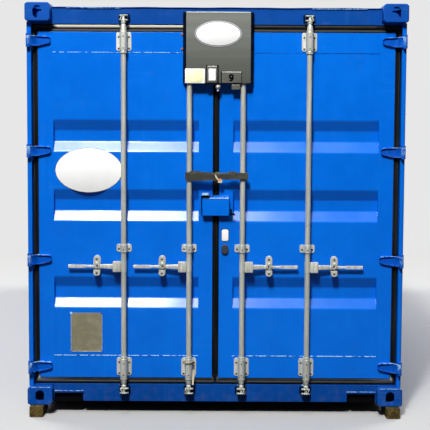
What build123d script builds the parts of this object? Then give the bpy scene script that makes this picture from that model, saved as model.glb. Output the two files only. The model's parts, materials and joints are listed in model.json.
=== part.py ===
"""A twenty foot steel shipping container, shut, standing on four timber blocks.

X runs to the right as one faces the doors, Y runs from the doors into the container and Z up.
The origin is on the ground, under the middle of everything. Sizes are in millimetres.
Inside this file a place is given as x from the centre line, depth behind the door end of the
corner castings, and height above the underside of the corner castings.
"""
import os

from build123d import *

os.makedirs("parts", exist_ok=True)

# Overall sizes
overall_length = 6058
overall_width = 2438
overall_height = 2591
timber_reach = 40
timber_height = 70
timber_width = 88
timber_seat = 180
timber_inset = 64
timber_chamfer = 3

# Corner castings
casting_width = 162
casting_length = 178
casting_height = 118
casting_radius = 14
casting_wall = 16
casting_cap = 28
lock_slot_length = 124
lock_slot_width = 63.5
lashing_hole_height = 79.5
lashing_hole_width = 56

# Corner posts, header and sill
side_recess = 5
post_front = 42
post_strip = 29
post_wall = 6
post_corner_radius = 12
stop_depth = 131
stop_width = 74
header_drop = 130
header_wall = 4
stop_plate = 6
header_stop_drop = 66
sill_bottom = 12
sill_top = 125
sill_fall = 3
sill_wall = 5
notch_width = 187
notch_height = 56
notch_depth = 46
notch_margin = 5
notch_lip = 8
notch_lip_reach = 9

# Side and end frame
roof_drop = 26
top_rail_size = 60
top_rail_wall = 3
bottom_rail_top_flange = 48
bottom_rail_foot_flange = 30
bottom_rail_wall = 4.5
floor_level = 170
end_post_width = 84
end_post_depth = 58
end_post_toe = 24

# Corrugated sheets
wall_sheet = 2
side_crest = 72
side_slope = 68
side_trough = 70
side_rise = 36
end_crest = 110
end_slope = 18
end_trough = 104
end_rise = 45.6
sheet_inset = 2
roof_rib_pitch = 215
roof_rib_width = 120
roof_rib_length = 2250
roof_rib_rise = 16
roof_rib_taper = 45
roof_edge = 4

# Floor and base
board_thickness = 28
board_gap = 3
board_count = 4
board_edge_gap = 2
member_height = 122
member_flange = 45
member_wall = 4
member_pitch = 300
pocket_spacing = 2050
pocket_width = 360
pocket_clear = 115
pocket_plate = 4.5
pocket_strap = 200
pocket_strap_plate = 6

# Door leaves
leaf_front = 75
leaf_thickness = 50
leaf_edge = 21
leaf_hinge_gap = 39
leaf_bottom_gap = 45
leaf_top_gap = 49
inner_stile = 89
outer_stile = 96
bottom_rail_height = 145
top_rail_height = 130
stile_wall = 3.2
leaf_sheet = 2
trough_shares = (0.25, 0.504, 0.704)
trough_floor = 68
trough_slope = 70
trough_depth = 36
frame_gap = 6
gasket_centre_gap = 6
gasket_front = 5
gasket_thickness = 32
gasket_lip = 7

# Hinges
hinge_count = 4
hinge_inset = 14
hinge_depth = 22
hinge_low = 75
hinge_high = 58
pin_radius = 8
pin_clearance = 0.3
knuckle_radius = 14
blade_height = 62
blade_tip_height = 48
blade_thickness = 8
blade_reach = 134
blade_knee = 36
lug_height = 11
lug_gap = 0.6
lug_half_width = 13
lug_chamfer = 8

# Locking bars
inner_bar_x = 172
outer_bar_share = 0.51832
bar_radius = 17
bar_standoff = 38
cam_below_sill = 25
cam_above_header = 28
cam_hub_radius = 20
cam_hub_height = 72
cam_hub_shift = 8
cam_nose_height = 24
cam_nose_radius = 8
cam_nose_offset = 19
keeper_height = 56
keeper_reach = 28
keeper_gap = 5
keeper_cheek = 6
keeper_back = 6
collar_radius = 23
collar_height = 12
collar_low = 1
collar_high = 132
long_bracket = 119
short_bracket = 51
bracket_low = 14
bracket_high = 1
bracket_over_handle = 93
bracket_width = 97
bracket_plate = 5
bracket_cap_wall = 6
bracket_clearance = 0.4

# Handles and their catches
handle_height = 905
hub_radius = 25
hub_height = 68
hub_length = 58
hub_depth = 34
lever_clear = 62
lever_root_radius = 22
lever_grip_share = 0.675
lever_grip_height = 28
lever_thickness = 12
catch_share = 0.4833
catch_width = 46
catch_plate = 6
catch_hole_radius = 9
flap_top = 80
flap_bottom = -10
seat_top = 80
seat_bottom = -58
seat_shelf = -24
seat_shelf_plate = 6

# Cover box over the inner bars
cover_centre = 12
cover_width = 415
cover_back_width = 454
cover_rise = 74
cover_height = 448
cover_back_rise = 3
cover_front = 6
cover_back = 64
cover_wall = 3
cover_radius = 12
cover_floor_width = 200
cover_foot_width = 22
cover_foot_height = 120
plate_size = (128, 70, 4)
plate_place = (95, 34)
module_size = (74, 112, 8)
module_place = (-27, 53)
module_chamfer = 3
knob_size = (34, 42)
knob_length = 41
knob_place = (10, -18)
knob_front = 9

# Padlock box, its tab, the strap and the round sensor
lockbox_half_width = 87
lockbox_bottom = 1240
lockbox_top = 1353
lockbox_front = 32
lockbox_wall = 4
lockbox_clear = 10
lockbox_hood = 14
lock_bolt_radius = 8
lock_bolt_reach = 37
lock_bolt_height = 1245
tab_left = -96
tab_right = -41
tab_bottom = 1360
tab_top = 1386
tab_front = 28
tab_sheet = 5
strap_left = -198
strap_right = 207
strap_bottom = 1464
strap_top = 1521
strap_front = 8
strap_thickness = 4
strap_ring_wall = 4
strap_ring_clearance = 0.4
puck_centre = (60, 1017)
puck_width = 46
puck_height = 64
puck_thickness = 15

# Places that follow from the sizes above
door_end = -overall_length / 2
half_width = overall_width / 2
timber_x = half_width - timber_inset
header_bottom = overall_height - header_drop
roof_level = overall_height - roof_drop
post_side = half_width - side_recess
post_edge = post_side - post_strip
post_height = overall_height - 2 * casting_height
far_casting = overall_length - casting_length
far_face = overall_length - side_recess
wall_height = roof_level - top_rail_size
leaf_side = post_edge - leaf_hinge_gap
leaf_bottom = sill_top + leaf_bottom_gap
leaf_top = header_bottom - leaf_top_gap
leaf_height = leaf_top - leaf_bottom
trough_heights = [leaf_bottom + share * leaf_height for share in trough_shares]
gasket_side = post_edge - frame_gap
gasket_top = header_bottom - frame_gap
gasket_bottom = sill_top + sill_fall + frame_gap
post_stop = post_side - stop_width
hinge_x = post_side - hinge_inset
hinge_pitch = (leaf_height - hinge_low - hinge_high) / (hinge_count - 1)
hinge_heights = [leaf_bottom + hinge_low + step * hinge_pitch for step in range(hinge_count)]
blade_end = hinge_x - blade_reach
bar_depth = leaf_front - bar_standoff
bar_positions = (inner_bar_x, leaf_side * outer_bar_share)
lever_length = bar_positions[1] - bar_positions[0] - lever_clear
lever_grip_start = lever_length * lever_grip_share
catch_x = lever_length * catch_share
cam_heights = (sill_top - cam_below_sill, header_bottom + cam_above_header)
collar_heights = (leaf_bottom + collar_low, leaf_top - collar_high)
bracket_spans = (
    (leaf_bottom + bracket_low, leaf_bottom + bracket_low + long_bracket),
    (handle_height + bracket_over_handle, handle_height + bracket_over_handle + short_bracket),
    (leaf_top - bracket_high - long_bracket, leaf_top - bracket_high),
)
cover_top = header_bottom + cover_rise
cover_bottom = cover_top - cover_height
cover_back_top = cover_top + cover_back_rise
floor_edge = post_side - bottom_rail_top_flange - board_edge_gap
member_top = floor_level - board_thickness
pocket_depths = [overall_length / 2 + side * pocket_spacing / 2 for side in (-1, 1)]


def level(height):
    """Level plane, seen from above: local axes are x and depth."""
    return Plane(origin=(0, door_end, timber_height + height), x_dir=(1, 0, 0), z_dir=(0, 0, 1))


def facing(depth):
    """Upright plane facing the doors: local axes are x and height, and it extrudes forwards."""
    return Plane(origin=(0, door_end + depth, timber_height), x_dir=(1, 0, 0), z_dir=(0, -1, 0))


def across(x):
    """Upright plane across the container: local axes are depth and height, extruding to +X."""
    return Plane(origin=(x, door_end, timber_height), x_dir=(0, 1, 0), z_dir=(1, 0, 0))


def save(builder, name):
    """Label a finished piece and write it."""
    builder.part.label = name
    export_step(builder.part, f"parts/{name}.step")


def mirrored(builder):
    """The left-hand twin of a right-hand piece."""
    with BuildPart() as twin:
        mirror(builder.part, about=Plane.YZ)
    return twin


def save_pair(builder, name):
    """Write a right-hand piece and its left-hand twin."""
    save(builder, f"right_{name}")
    save(mirrored(builder), f"left_{name}")


def block(x_range, depth_range, height_range, mode=Mode.ADD):
    """A rectangular block between two values on each axis."""
    with BuildSketch(level(height_range[0])) as plan:
        with Locations((sum(x_range) / 2, sum(depth_range) / 2)):
            Rectangle(x_range[1] - x_range[0], depth_range[1] - depth_range[0])
    extrude(plan.sketch, amount=height_range[1] - height_range[0], mode=mode)


def cut_castings():
    """Take the room of the eight corner castings out of the piece being made."""
    for height_range in ((0, casting_height), (overall_height - casting_height, overall_height)):
        for depth_range in ((0, casting_length), (far_casting, overall_length)):
            for side in (-1, 1):
                x_range = sorted((side * half_width, side * (half_width - casting_width)))
                block(x_range, depth_range, height_range, mode=Mode.SUBTRACT)


def corrugation(start, end, crest, slope, trough, rise):
    """Points of a corrugated line from start to end that begins and ends on a flat margin."""
    pitch = crest + 2 * slope + trough
    count = int((end - start - crest) // pitch)
    first = (start + end - count * pitch + crest) / 2
    points = [(start, 0)]
    for number in range(count):
        left = first + number * pitch
        points += [(left, 0), (left + slope, rise), (left + slope + trough, rise)]
        points += [(left + 2 * slope + trough, 0)]
    return points + [(end, 0)]


def sheet_outline(points, thickness):
    """Close a line of points into the section of a sheet that lies on its left-hand side."""
    with BuildLine() as outline:
        line = Polyline(*points)
        offset(line, amount=thickness, side=Side.LEFT, kind=Kind.INTERSECTION)
    make_face(outline.edges())


# Corner castings: a hollow block with a slot for a twist lock and two lashing holes
with BuildPart() as casting:
    casting_x = half_width - casting_width / 2
    with BuildSketch(level(0)) as casting_plan:
        with Locations((casting_x, casting_length / 2)):
            Rectangle(casting_width, casting_length)
        fillet(casting_plan.vertices().sort_by(Axis.X)[-2:].sort_by(Axis.Y)[0], casting_radius)
    extrude(amount=casting_height)
    block(
        (half_width - casting_width + casting_wall, half_width - casting_wall),
        (casting_wall, casting_length - casting_wall),
        (casting_cap, casting_height - casting_wall),
        mode=Mode.SUBTRACT,
    )
    with BuildSketch(level(0)):
        with Locations((casting_x, casting_length / 2)):
            SlotOverall(lock_slot_length, lock_slot_width, rotation=90)
    extrude(amount=casting_cap, mode=Mode.SUBTRACT)
    with BuildSketch(facing(0)):
        with Locations((casting_x, casting_height / 2)):
            SlotOverall(lashing_hole_height, lashing_hole_width, rotation=90)
    extrude(amount=-casting_wall, mode=Mode.SUBTRACT)
    with BuildSketch(across(half_width)):
        with Locations((casting_length / 2, casting_height / 2)):
            SlotOverall(lashing_hole_height, lashing_hole_width, rotation=90)
    extrude(amount=-casting_wall, mode=Mode.SUBTRACT)

middle_height = level(overall_height / 2)
middle_length = facing(overall_length / 2)

with BuildPart() as door_bottom_castings:
    add(casting.part)
    mirror(about=Plane.YZ)
save(door_bottom_castings, "door_bottom_castings")

with BuildPart() as door_top_castings:
    mirror(door_bottom_castings.part, about=middle_height)
save(door_top_castings, "door_top_castings")

with BuildPart() as end_bottom_castings:
    mirror(door_bottom_castings.part, about=middle_length)
save(end_bottom_castings, "end_bottom_castings")

with BuildPart() as end_top_castings:
    mirror(door_top_castings.part, about=middle_length)
save(end_top_castings, "end_top_castings")

# Door posts: a hollow section with a front strip for the hinges and a stop behind the leaf
with BuildPart() as door_post:
    with BuildSketch(level(casting_height)) as post_plan:
        with BuildLine():
            Polyline(
                (post_side, post_front),
                (post_edge, post_front),
                (post_edge, stop_depth),
                (post_stop, stop_depth),
                (post_stop, casting_length),
                (post_side, casting_length),
                close=True,
            )
        make_face()
        offset(amount=-post_wall, kind=Kind.INTERSECTION, mode=Mode.SUBTRACT)
        outer_front = post_plan.vertices().sort_by(Axis.Y)[:2].sort_by(Axis.X)[-1]
        fillet(outer_front, post_corner_radius)
    extrude(amount=post_height)
save_pair(door_post, "door_post")

# End posts: a tapered hollow section behind the closed end
with BuildPart() as end_post:
    with BuildSketch(level(casting_height)):
        with BuildLine():
            Polyline(
                (post_side, far_face),
                (post_side - end_post_width, far_face),
                (post_side - end_post_width, far_face - end_post_depth),
                (post_side - end_post_toe, far_casting),
                (post_side, far_casting),
                close=True,
            )
        make_face()
        offset(amount=-post_wall, kind=Kind.INTERSECTION, mode=Mode.SUBTRACT)
    extrude(amount=post_height)
save_pair(end_post, "end_post")

# Header over the doors: a hollow beam with a stop plate hanging behind the leaves
with BuildPart() as door_header:
    with BuildSketch(across(-post_stop)):
        with Locations(((leaf_front + casting_length) / 2, (header_bottom + roof_level) / 2)):
            Rectangle(casting_length - leaf_front, roof_level - header_bottom)
            Rectangle(
                casting_length - leaf_front - 2 * header_wall,
                roof_level - header_bottom - 2 * header_wall,
                mode=Mode.SUBTRACT,
            )
    extrude(amount=2 * post_stop)
    block(
        (-post_stop, post_stop),
        (stop_depth, stop_depth + stop_plate),
        (header_bottom - header_stop_drop, header_bottom),
    )
    for side in (-1, 1):
        block(
            sorted((side * post_stop, side * post_edge)),
            (leaf_front, stop_depth),
            (header_bottom, overall_height - casting_height),
        )
    cut_castings()
save(door_header, "door_header")

# Sill under the doors, with a handling notch beside each casting
notch_outer = half_width - casting_width - notch_margin
notch_inner = notch_outer - notch_width
with BuildPart() as door_sill:
    with BuildSketch(across(-post_stop)):
        with BuildLine():
            Polyline(
                (leaf_front, sill_bottom),
                (casting_length, sill_bottom),
                (casting_length, floor_level),
                (stop_depth, floor_level),
                (stop_depth, sill_top + sill_fall),
                (leaf_front, sill_top),
                close=True,
            )
        make_face()
        offset(amount=-sill_wall, kind=Kind.INTERSECTION, mode=Mode.SUBTRACT)
    extrude(amount=2 * post_stop)
    for side in (-1, 1):
        block(
            sorted((side * post_stop, side * post_edge)),
            (leaf_front, stop_depth),
            (casting_height, sill_top),
        )
        block(
            sorted((side * (notch_inner - sill_wall), side * (notch_outer + notch_margin))),
            (leaf_front, leaf_front + notch_depth + sill_wall),
            (sill_bottom, sill_bottom + notch_height + sill_wall),
        )
        block(
            sorted((side * (notch_inner - sill_wall), side * notch_outer)),
            (leaf_front - notch_lip_reach, leaf_front),
            (sill_bottom + notch_height, sill_bottom + notch_height + notch_lip),
        )
        block(
            sorted((side * notch_inner, side * notch_outer)),
            (leaf_front - notch_lip_reach, leaf_front + notch_depth),
            (sill_bottom, sill_bottom + notch_height),
            mode=Mode.SUBTRACT,
        )
    cut_castings()
save(door_sill, "door_sill")

# Top side rails: square tubes
with BuildPart() as top_side_rail:
    with BuildSketch(facing(casting_length)):
        with Locations((post_side - top_rail_size / 2, roof_level - top_rail_size / 2)):
            Rectangle(top_rail_size, top_rail_size)
            Rectangle(
                top_rail_size - 2 * top_rail_wall, top_rail_size - 2 * top_rail_wall, mode=Mode.SUBTRACT
            )
    extrude(amount=-(far_casting - casting_length))
save_pair(top_side_rail, "top_side_rail")

# Bottom side rails: channels with the mouths of the fork pockets cut through the web
with BuildPart() as bottom_side_rail:
    with BuildSketch(facing(casting_length)):
        with BuildLine():
            Polyline(
                (post_side, sill_bottom),
                (post_side, floor_level),
                (post_side - bottom_rail_top_flange, floor_level),
                (post_side - bottom_rail_top_flange, floor_level - bottom_rail_wall),
                (post_side - bottom_rail_wall, floor_level - bottom_rail_wall),
                (post_side - bottom_rail_wall, sill_bottom + bottom_rail_wall),
                (post_side - bottom_rail_foot_flange, sill_bottom + bottom_rail_wall),
                (post_side - bottom_rail_foot_flange, sill_bottom),
                close=True,
            )
        make_face()
    extrude(amount=-(far_casting - casting_length))
    for depth in pocket_depths:
        block(
            (post_side - bottom_rail_wall, post_side),
            (depth - pocket_width / 2, depth + pocket_width / 2),
            (sill_bottom + bottom_rail_wall, sill_bottom + bottom_rail_wall + pocket_clear),
            mode=Mode.SUBTRACT,
        )
save_pair(bottom_side_rail, "bottom_side_rail")

# Closed end: top rail, bottom rail and corrugated wall
end_post_inner = post_side - end_post_width
with BuildPart() as end_top_rail:
    with BuildSketch(across(-end_post_inner)):
        with Locations((far_face - top_rail_size / 2, roof_level - top_rail_size / 2)):
            Rectangle(top_rail_size, top_rail_size)
            Rectangle(
                top_rail_size - 2 * top_rail_wall, top_rail_size - 2 * top_rail_wall, mode=Mode.SUBTRACT
            )
    extrude(amount=2 * end_post_inner)
    cut_castings()
save(end_top_rail, "end_top_rail")

with BuildPart() as end_bottom_rail:
    with BuildSketch(across(-end_post_inner)):
        with BuildLine():
            Polyline(
                (far_face, sill_bottom),
                (far_face, floor_level),
                (far_face - end_post_depth, floor_level),
                (far_face - end_post_depth, floor_level - sill_wall),
                (far_face - sill_wall, floor_level - sill_wall),
                (far_face - sill_wall, sill_bottom + sill_wall),
                (far_face - end_post_depth, sill_bottom + sill_wall),
                (far_face - end_post_depth, sill_bottom),
                close=True,
            )
        make_face()
    extrude(amount=2 * end_post_inner)
    cut_castings()
save(end_bottom_rail, "end_bottom_rail")

with BuildPart() as end_wall:
    end_line = corrugation(-end_post_inner, end_post_inner, end_crest, end_slope, end_trough, end_rise)
    outer_depth = far_face - sheet_inset
    with BuildSketch(level(floor_level)):
        sheet_outline([(x, outer_depth - wall_sheet - rise) for x, rise in end_line], wall_sheet)
    extrude(amount=wall_height - floor_level)
    cut_castings()
save(end_wall, "end_wall")

# Side walls: corrugated sheet between the rails
with BuildPart() as side_wall:
    side_line = corrugation(casting_length, far_casting, side_crest, side_slope, side_trough, side_rise)
    outer_x = post_side - sheet_inset
    with BuildSketch(level(floor_level)):
        sheet_outline([(outer_x - rise, depth) for depth, rise in side_line], wall_sheet)
    extrude(amount=wall_height - floor_level)
save_pair(side_wall, "side_wall")

# Roof: sheet with pressed ribs across it, closed at both ends
with BuildPart() as roof:
    roof_length = far_casting - casting_length
    roof_tongue = 2 * (half_width - casting_width) - roof_edge
    roof_rib_count = int(roof_length // roof_rib_pitch)
    with BuildSketch(level(roof_level)):
        with Locations((0, overall_length / 2)):
            Rectangle(2 * (post_side - roof_edge), roof_length)
        with Locations((0, (leaf_front + far_face) / 2)):
            Rectangle(roof_tongue, far_face - leaf_front)
    extrude(amount=wall_sheet)
    with BuildSketch(level(roof_level + wall_sheet)):
        with Locations((0, overall_length / 2)):
            with GridLocations(0, roof_rib_pitch, 1, roof_rib_count):
                Rectangle(roof_rib_length, roof_rib_width)
    extrude(amount=roof_rib_rise, taper=roof_rib_taper)
    with BuildSketch(level(roof_level)):
        with Locations((0, overall_length / 2)):
            with GridLocations(0, roof_rib_pitch, 1, roof_rib_count):
                Rectangle(roof_rib_length - wall_sheet, roof_rib_width - wall_sheet)
    extrude(amount=roof_rib_rise, taper=roof_rib_taper, mode=Mode.SUBTRACT)
save(roof, "roof")

# Cross members: channels between the bottom side rails, evenly spaced in three bays
member_end = post_side - bottom_rail_wall
pocket_half = pocket_width / 2 + pocket_plate
bay_edges = [casting_length + member_flange]
for depth in pocket_depths:
    bay_edges += [depth - pocket_half, depth + pocket_half]
bay_edges += [far_face - end_post_depth]
member_depths = []
for bay_start, bay_end in zip(bay_edges[::2], bay_edges[1::2]):
    gaps = round((bay_end - bay_start) / member_pitch)
    spacing = (bay_end - bay_start) / gaps
    member_depths += [bay_start + spacing * number for number in range(1, gaps)]
member_depths.append(bay_edges[0])

with BuildPart() as cross_members:
    for depth in member_depths:
        with BuildSketch(across(-member_end)):
            with Locations((depth, member_top - member_height / 2)):
                Rectangle(member_flange, member_height)
            with Locations((depth + member_wall, member_top - member_height / 2)):
                Rectangle(member_flange, member_height - 2 * member_wall, mode=Mode.SUBTRACT)
        extrude(amount=2 * member_end)
save(cross_members, "cross_members")

# Fork pockets: an inverted trough right through the base, with straps under its mouths
with BuildPart() as fork_pockets:
    pocket_roof = sill_bottom + bottom_rail_wall + pocket_clear
    pocket_floor = member_top - member_height
    for depth in pocket_depths:
        with BuildSketch(across(-member_end)):
            with Locations((depth, (pocket_floor + member_top) / 2)):
                Rectangle(2 * pocket_half, member_top - pocket_floor)
            with Locations((depth, (pocket_floor + pocket_roof) / 2)):
                Rectangle(pocket_width, pocket_roof - pocket_floor, mode=Mode.SUBTRACT)
            with Locations((depth, (pocket_roof + pocket_plate + member_top) / 2)):
                Rectangle(pocket_width, member_top - pocket_roof - pocket_plate, mode=Mode.SUBTRACT)
        extrude(amount=2 * member_end)
        for side in (-1, 1):
            strap_outer = post_side - bottom_rail_foot_flange
            block(
                sorted((side * strap_outer, side * (strap_outer - pocket_strap))),
                (depth - pocket_half, depth + pocket_half),
                (pocket_floor - pocket_strap_plate, pocket_floor),
            )
save(fork_pockets, "fork_pockets")

# Floor boards, two rows of plywood beside a narrow joint
with BuildPart() as floor_boards:
    floor_start = casting_length
    floor_end = far_face - end_post_depth
    board_pitch = (floor_end - floor_start) / board_count
    row_width = floor_edge - board_gap / 2
    with BuildSketch(level(member_top)):
        with Locations((0, (floor_start + floor_end) / 2)):
            with GridLocations(row_width + board_gap, board_pitch, 2, board_count):
                Rectangle(row_width, board_pitch - board_gap)
        for side in (-1, 1):
            with Locations((side * half_width, overall_length)):
                Rectangle(
                    2 * (half_width - end_post_inner + board_edge_gap),
                    2 * (casting_length + board_edge_gap),
                    mode=Mode.SUBTRACT,
                )
    extrude(amount=board_thickness)
save(floor_boards, "floor_boards")

# Timber blocks under the four bottom castings
with BuildPart() as timber_blocks:
    for side in (-1, 1):
        centre = side * timber_x
        block(
            (centre - timber_width / 2, centre + timber_width / 2),
            (-timber_reach, timber_seat),
            (-timber_height, 0),
        )
    mirror(about=middle_length)
    chamfer(timber_blocks.edges().filter_by(Axis.Y), timber_chamfer)
save(timber_blocks, "timber_blocks")

# Leaf frame: two hollow stiles, and two rails pressed open at the back
with BuildPart() as leaf_frame:
    with BuildSketch(facing(leaf_front)):
        with Locations(((leaf_edge + leaf_side) / 2, (leaf_bottom + leaf_top) / 2)):
            Rectangle(leaf_side - leaf_edge, leaf_top - leaf_bottom)
        opening_left = leaf_edge + inner_stile
        opening_right = leaf_side - outer_stile
        opening_bottom = leaf_bottom + bottom_rail_height
        opening_top = leaf_top - top_rail_height
        with Locations(((opening_left + opening_right) / 2, (opening_bottom + opening_top) / 2)):
            Rectangle(opening_right - opening_left, opening_top - opening_bottom, mode=Mode.SUBTRACT)
    extrude(amount=-leaf_thickness)
    for x_range in ((leaf_edge, opening_left), (opening_right, leaf_side)):
        block(
            (x_range[0] + stile_wall, x_range[1] - stile_wall),
            (leaf_front + stile_wall, leaf_front + leaf_thickness - stile_wall),
            (leaf_bottom, leaf_top),
            mode=Mode.SUBTRACT,
        )
    for height_range in ((leaf_bottom, opening_bottom), (opening_top, leaf_top)):
        block(
            (opening_left, opening_right),
            (leaf_front + stile_wall, leaf_front + leaf_thickness),
            (height_range[0] + stile_wall, height_range[1] - stile_wall),
            mode=Mode.SUBTRACT,
        )
save_pair(leaf_frame, "leaf_frame")

# Leaf panel: sheet with three pressed troughs across it, flush with the frame
with BuildPart() as leaf_panel:
    panel_line = [(leaf_front, opening_bottom)]
    for centre in trough_heights:
        rim = trough_floor / 2 + trough_slope
        panel_line += [(leaf_front, centre - rim), (leaf_front + trough_depth, centre - trough_floor / 2)]
        panel_line += [(leaf_front + trough_depth, centre + trough_floor / 2), (leaf_front, centre + rim)]
    panel_line += [(leaf_front, opening_top)]
    with BuildSketch(across(opening_left)):
        sheet_outline(panel_line[::-1], leaf_sheet)
    extrude(amount=opening_right - opening_left)
save_pair(leaf_panel, "leaf_panel")

# Gasket round a leaf, with a feathered front lip
with BuildPart() as gasket:
    gasket_face = leaf_front + gasket_front
    gasket_width = gasket_side - gasket_centre_gap
    with BuildSketch(facing(gasket_face)):
        with Locations(((gasket_centre_gap + gasket_side) / 2, (gasket_bottom + gasket_top) / 2)):
            Rectangle(gasket_width, gasket_top - gasket_bottom)
    extrude(amount=-gasket_thickness)
    chamfer(gasket.faces().sort_by(Axis.Y)[0].edges(), gasket_lip)
    block(
        (leaf_edge, leaf_side),
        (gasket_face, gasket_face + gasket_thickness),
        (leaf_bottom, leaf_top),
        mode=Mode.SUBTRACT,
    )
save_pair(gasket, "gasket")

# Hinge blades: a knuckle on the pin and a cranked arm that lies on the face of the leaf
blade_face = leaf_front - blade_thickness / 2
with BuildPart() as hinge_blade:
    with BuildSketch(level(-blade_height / 2)):
        with BuildLine() as arm:
            Polyline(
                (hinge_x, hinge_depth),
                (hinge_x - knuckle_radius - 3, hinge_depth + knuckle_radius / 2 + 1),
                (hinge_x - knuckle_radius - blade_knee, blade_face),
                (blade_end, blade_face),
            )
            offset(arm.line, amount=blade_thickness / 2, kind=Kind.INTERSECTION)
        make_face()
        with Locations((hinge_x, hinge_depth)):
            Circle(knuckle_radius)
            Circle(pin_radius + pin_clearance, mode=Mode.SUBTRACT)
    extrude(amount=blade_height)
    with BuildSketch(facing(leaf_front)):
        with BuildLine():
            Polyline(
                (leaf_side, blade_height / 2),
                (blade_end - blade_thickness, blade_tip_height / 2),
                (blade_end - blade_thickness, blade_height / 2),
                close=True,
            )
        make_face()
        mirror(about=Plane.XZ)
    extrude(amount=leaf_front, mode=Mode.SUBTRACT)

with BuildPart() as hinge_blades:
    with Locations(*[(0, 0, height) for height in hinge_heights]):
        add(hinge_blade.part)
save_pair(hinge_blades, "hinge_blades")

# Hinge lugs on the post, above and below each knuckle, with the pin through them
lug_span = blade_height + 2 * (lug_gap + lug_height)
with BuildPart() as hinge_lug:
    with BuildSketch(level(-lug_span / 2)) as lug_plan:
        with Locations((hinge_x, (hinge_depth - knuckle_radius + post_front) / 2)):
            Rectangle(2 * lug_half_width, post_front - hinge_depth + knuckle_radius)
        chamfer(lug_plan.vertices().sort_by(Axis.Y)[:2], lug_chamfer)
    extrude(amount=lug_span)
    block(
        (hinge_x - 2 * knuckle_radius, hinge_x + 2 * knuckle_radius),
        (hinge_depth - 2 * knuckle_radius, post_front),
        (-blade_height / 2 - lug_gap, blade_height / 2 + lug_gap),
        mode=Mode.SUBTRACT,
    )
    with BuildSketch(level(-blade_height / 2 - lug_gap)):
        with Locations((hinge_x, hinge_depth)):
            Circle(pin_radius)
    extrude(amount=blade_height + 2 * lug_gap)

with BuildPart() as hinge_lugs:
    with Locations(*[(0, 0, height) for height in hinge_heights]):
        add(hinge_lug.part)
    mirror(about=Plane.YZ)
save(hinge_lugs, "hinge_lugs")

# One locking bar on the plane x = 0, with its collars
bar_bottom = cam_heights[0] + cam_hub_shift + cam_hub_height / 2
bar_top = cam_heights[1] - cam_hub_shift - cam_hub_height / 2
with BuildPart() as bar:
    with BuildSketch(level(bar_bottom)):
        with Locations((0, bar_depth)):
            Circle(bar_radius)
    extrude(amount=bar_top - bar_bottom)
    for height in collar_heights:
        with BuildSketch(level(height - collar_height / 2)):
            with Locations((0, bar_depth)):
                Circle(collar_radius)
        extrude(amount=collar_height)

# The two cams that close the ends of a bar: a round hub with a nose towards the keeper
with BuildPart() as cams:
    for height, inwards in zip(cam_heights, (1, -1)):
        with BuildSketch(level(height + inwards * cam_hub_shift - cam_hub_height / 2)):
            with Locations((0, bar_depth)):
                Circle(cam_hub_radius)
        extrude(amount=cam_hub_height)
        with BuildSketch(level(height - cam_nose_height / 2)):
            with Locations((0, bar_depth)):
                Circle(cam_hub_radius)
            with Locations((0, bar_depth + cam_nose_offset)):
                Circle(cam_nose_radius)
            make_hull()
        extrude(amount=cam_nose_height)

# One handle on the plane x = 0: clamp, hub, tapered lever, grip and the catch flap lying on it
lever_front = bar_depth - bar_radius
with BuildPart() as handle:
    with BuildSketch(level(handle_height - hub_height / 2)):
        with Locations((0, bar_depth)):
            Circle(hub_radius)
        with Locations((hub_length / 2, bar_depth)):
            Rectangle(hub_length, hub_depth)
    extrude(amount=hub_height)
    fillet(handle.edges().filter_by(Axis.Y).sort_by(Axis.X)[-2:], hub_radius / 2)
    with BuildSketch(facing(lever_front)):
        with Locations((hub_length, handle_height)):
            Circle(lever_root_radius)
        with Locations((lever_grip_start, handle_height)):
            Circle(lever_grip_height / 2)
        make_hull()
        with Locations(((lever_grip_start + lever_length) / 2 - lever_grip_height / 4, handle_height)):
            SlotOverall(lever_length - lever_grip_start + lever_grip_height / 2, lever_grip_height)
    extrude(amount=-lever_thickness)
    with BuildSketch(facing(lever_front)):
        with BuildLine():
            Polyline(
                (catch_x - catch_width / 2, handle_height + flap_bottom),
                (catch_x + catch_width / 2, handle_height + flap_bottom),
                (catch_x + catch_width / 2, handle_height + flap_top - catch_width / 2),
            )
            ThreePointArc(
                (catch_x + catch_width / 2, handle_height + flap_top - catch_width / 2),
                (catch_x, handle_height + flap_top),
                (catch_x - catch_width / 2, handle_height + flap_top - catch_width / 2),
            )
            Line(
                (catch_x - catch_width / 2, handle_height + flap_top - catch_width / 2),
                (catch_x - catch_width / 2, handle_height + flap_bottom),
            )
        make_face()
        with Locations((catch_x, handle_height + flap_top - catch_width / 2)):
            Circle(catch_hole_radius, mode=Mode.SUBTRACT)
    extrude(amount=catch_plate)
    with BuildSketch(level(handle_height - hub_height / 2)):
        with Locations((0, bar_depth)):
            Circle(bar_radius + bracket_clearance)
    extrude(amount=hub_height, mode=Mode.SUBTRACT)

for bar_name, bar_x in zip(("inner", "outer"), bar_positions):
    for piece_name, piece in (("bar", bar), ("cams", cams), ("handle", handle)):
        with BuildPart() as placed:
            with Locations((bar_x, 0, 0)):
                add(piece.part)
        save_pair(placed, f"{bar_name}_{piece_name}")

# Keepers that hold the cams: two cheeks, one slotted on the side where the nose swings out
cheek_inside = cam_hub_radius + keeper_gap
cheek_outside = cheek_inside + keeper_cheek
with BuildPart() as keeper:
    block(
        (-cheek_outside, cheek_outside),
        (leaf_front - keeper_reach, leaf_front),
        (-keeper_height / 2, keeper_height / 2),
    )
    block(
        (-cheek_inside, cheek_inside),
        (leaf_front - keeper_reach, leaf_front - keeper_back),
        (-keeper_height / 2, keeper_height / 2),
        mode=Mode.SUBTRACT,
    )
    block(
        (cheek_inside, cheek_outside),
        (leaf_front - keeper_reach, leaf_front - keeper_back),
        (-cam_nose_height / 2 - keeper_gap, cam_nose_height / 2 + keeper_gap),
        mode=Mode.SUBTRACT,
    )

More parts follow.
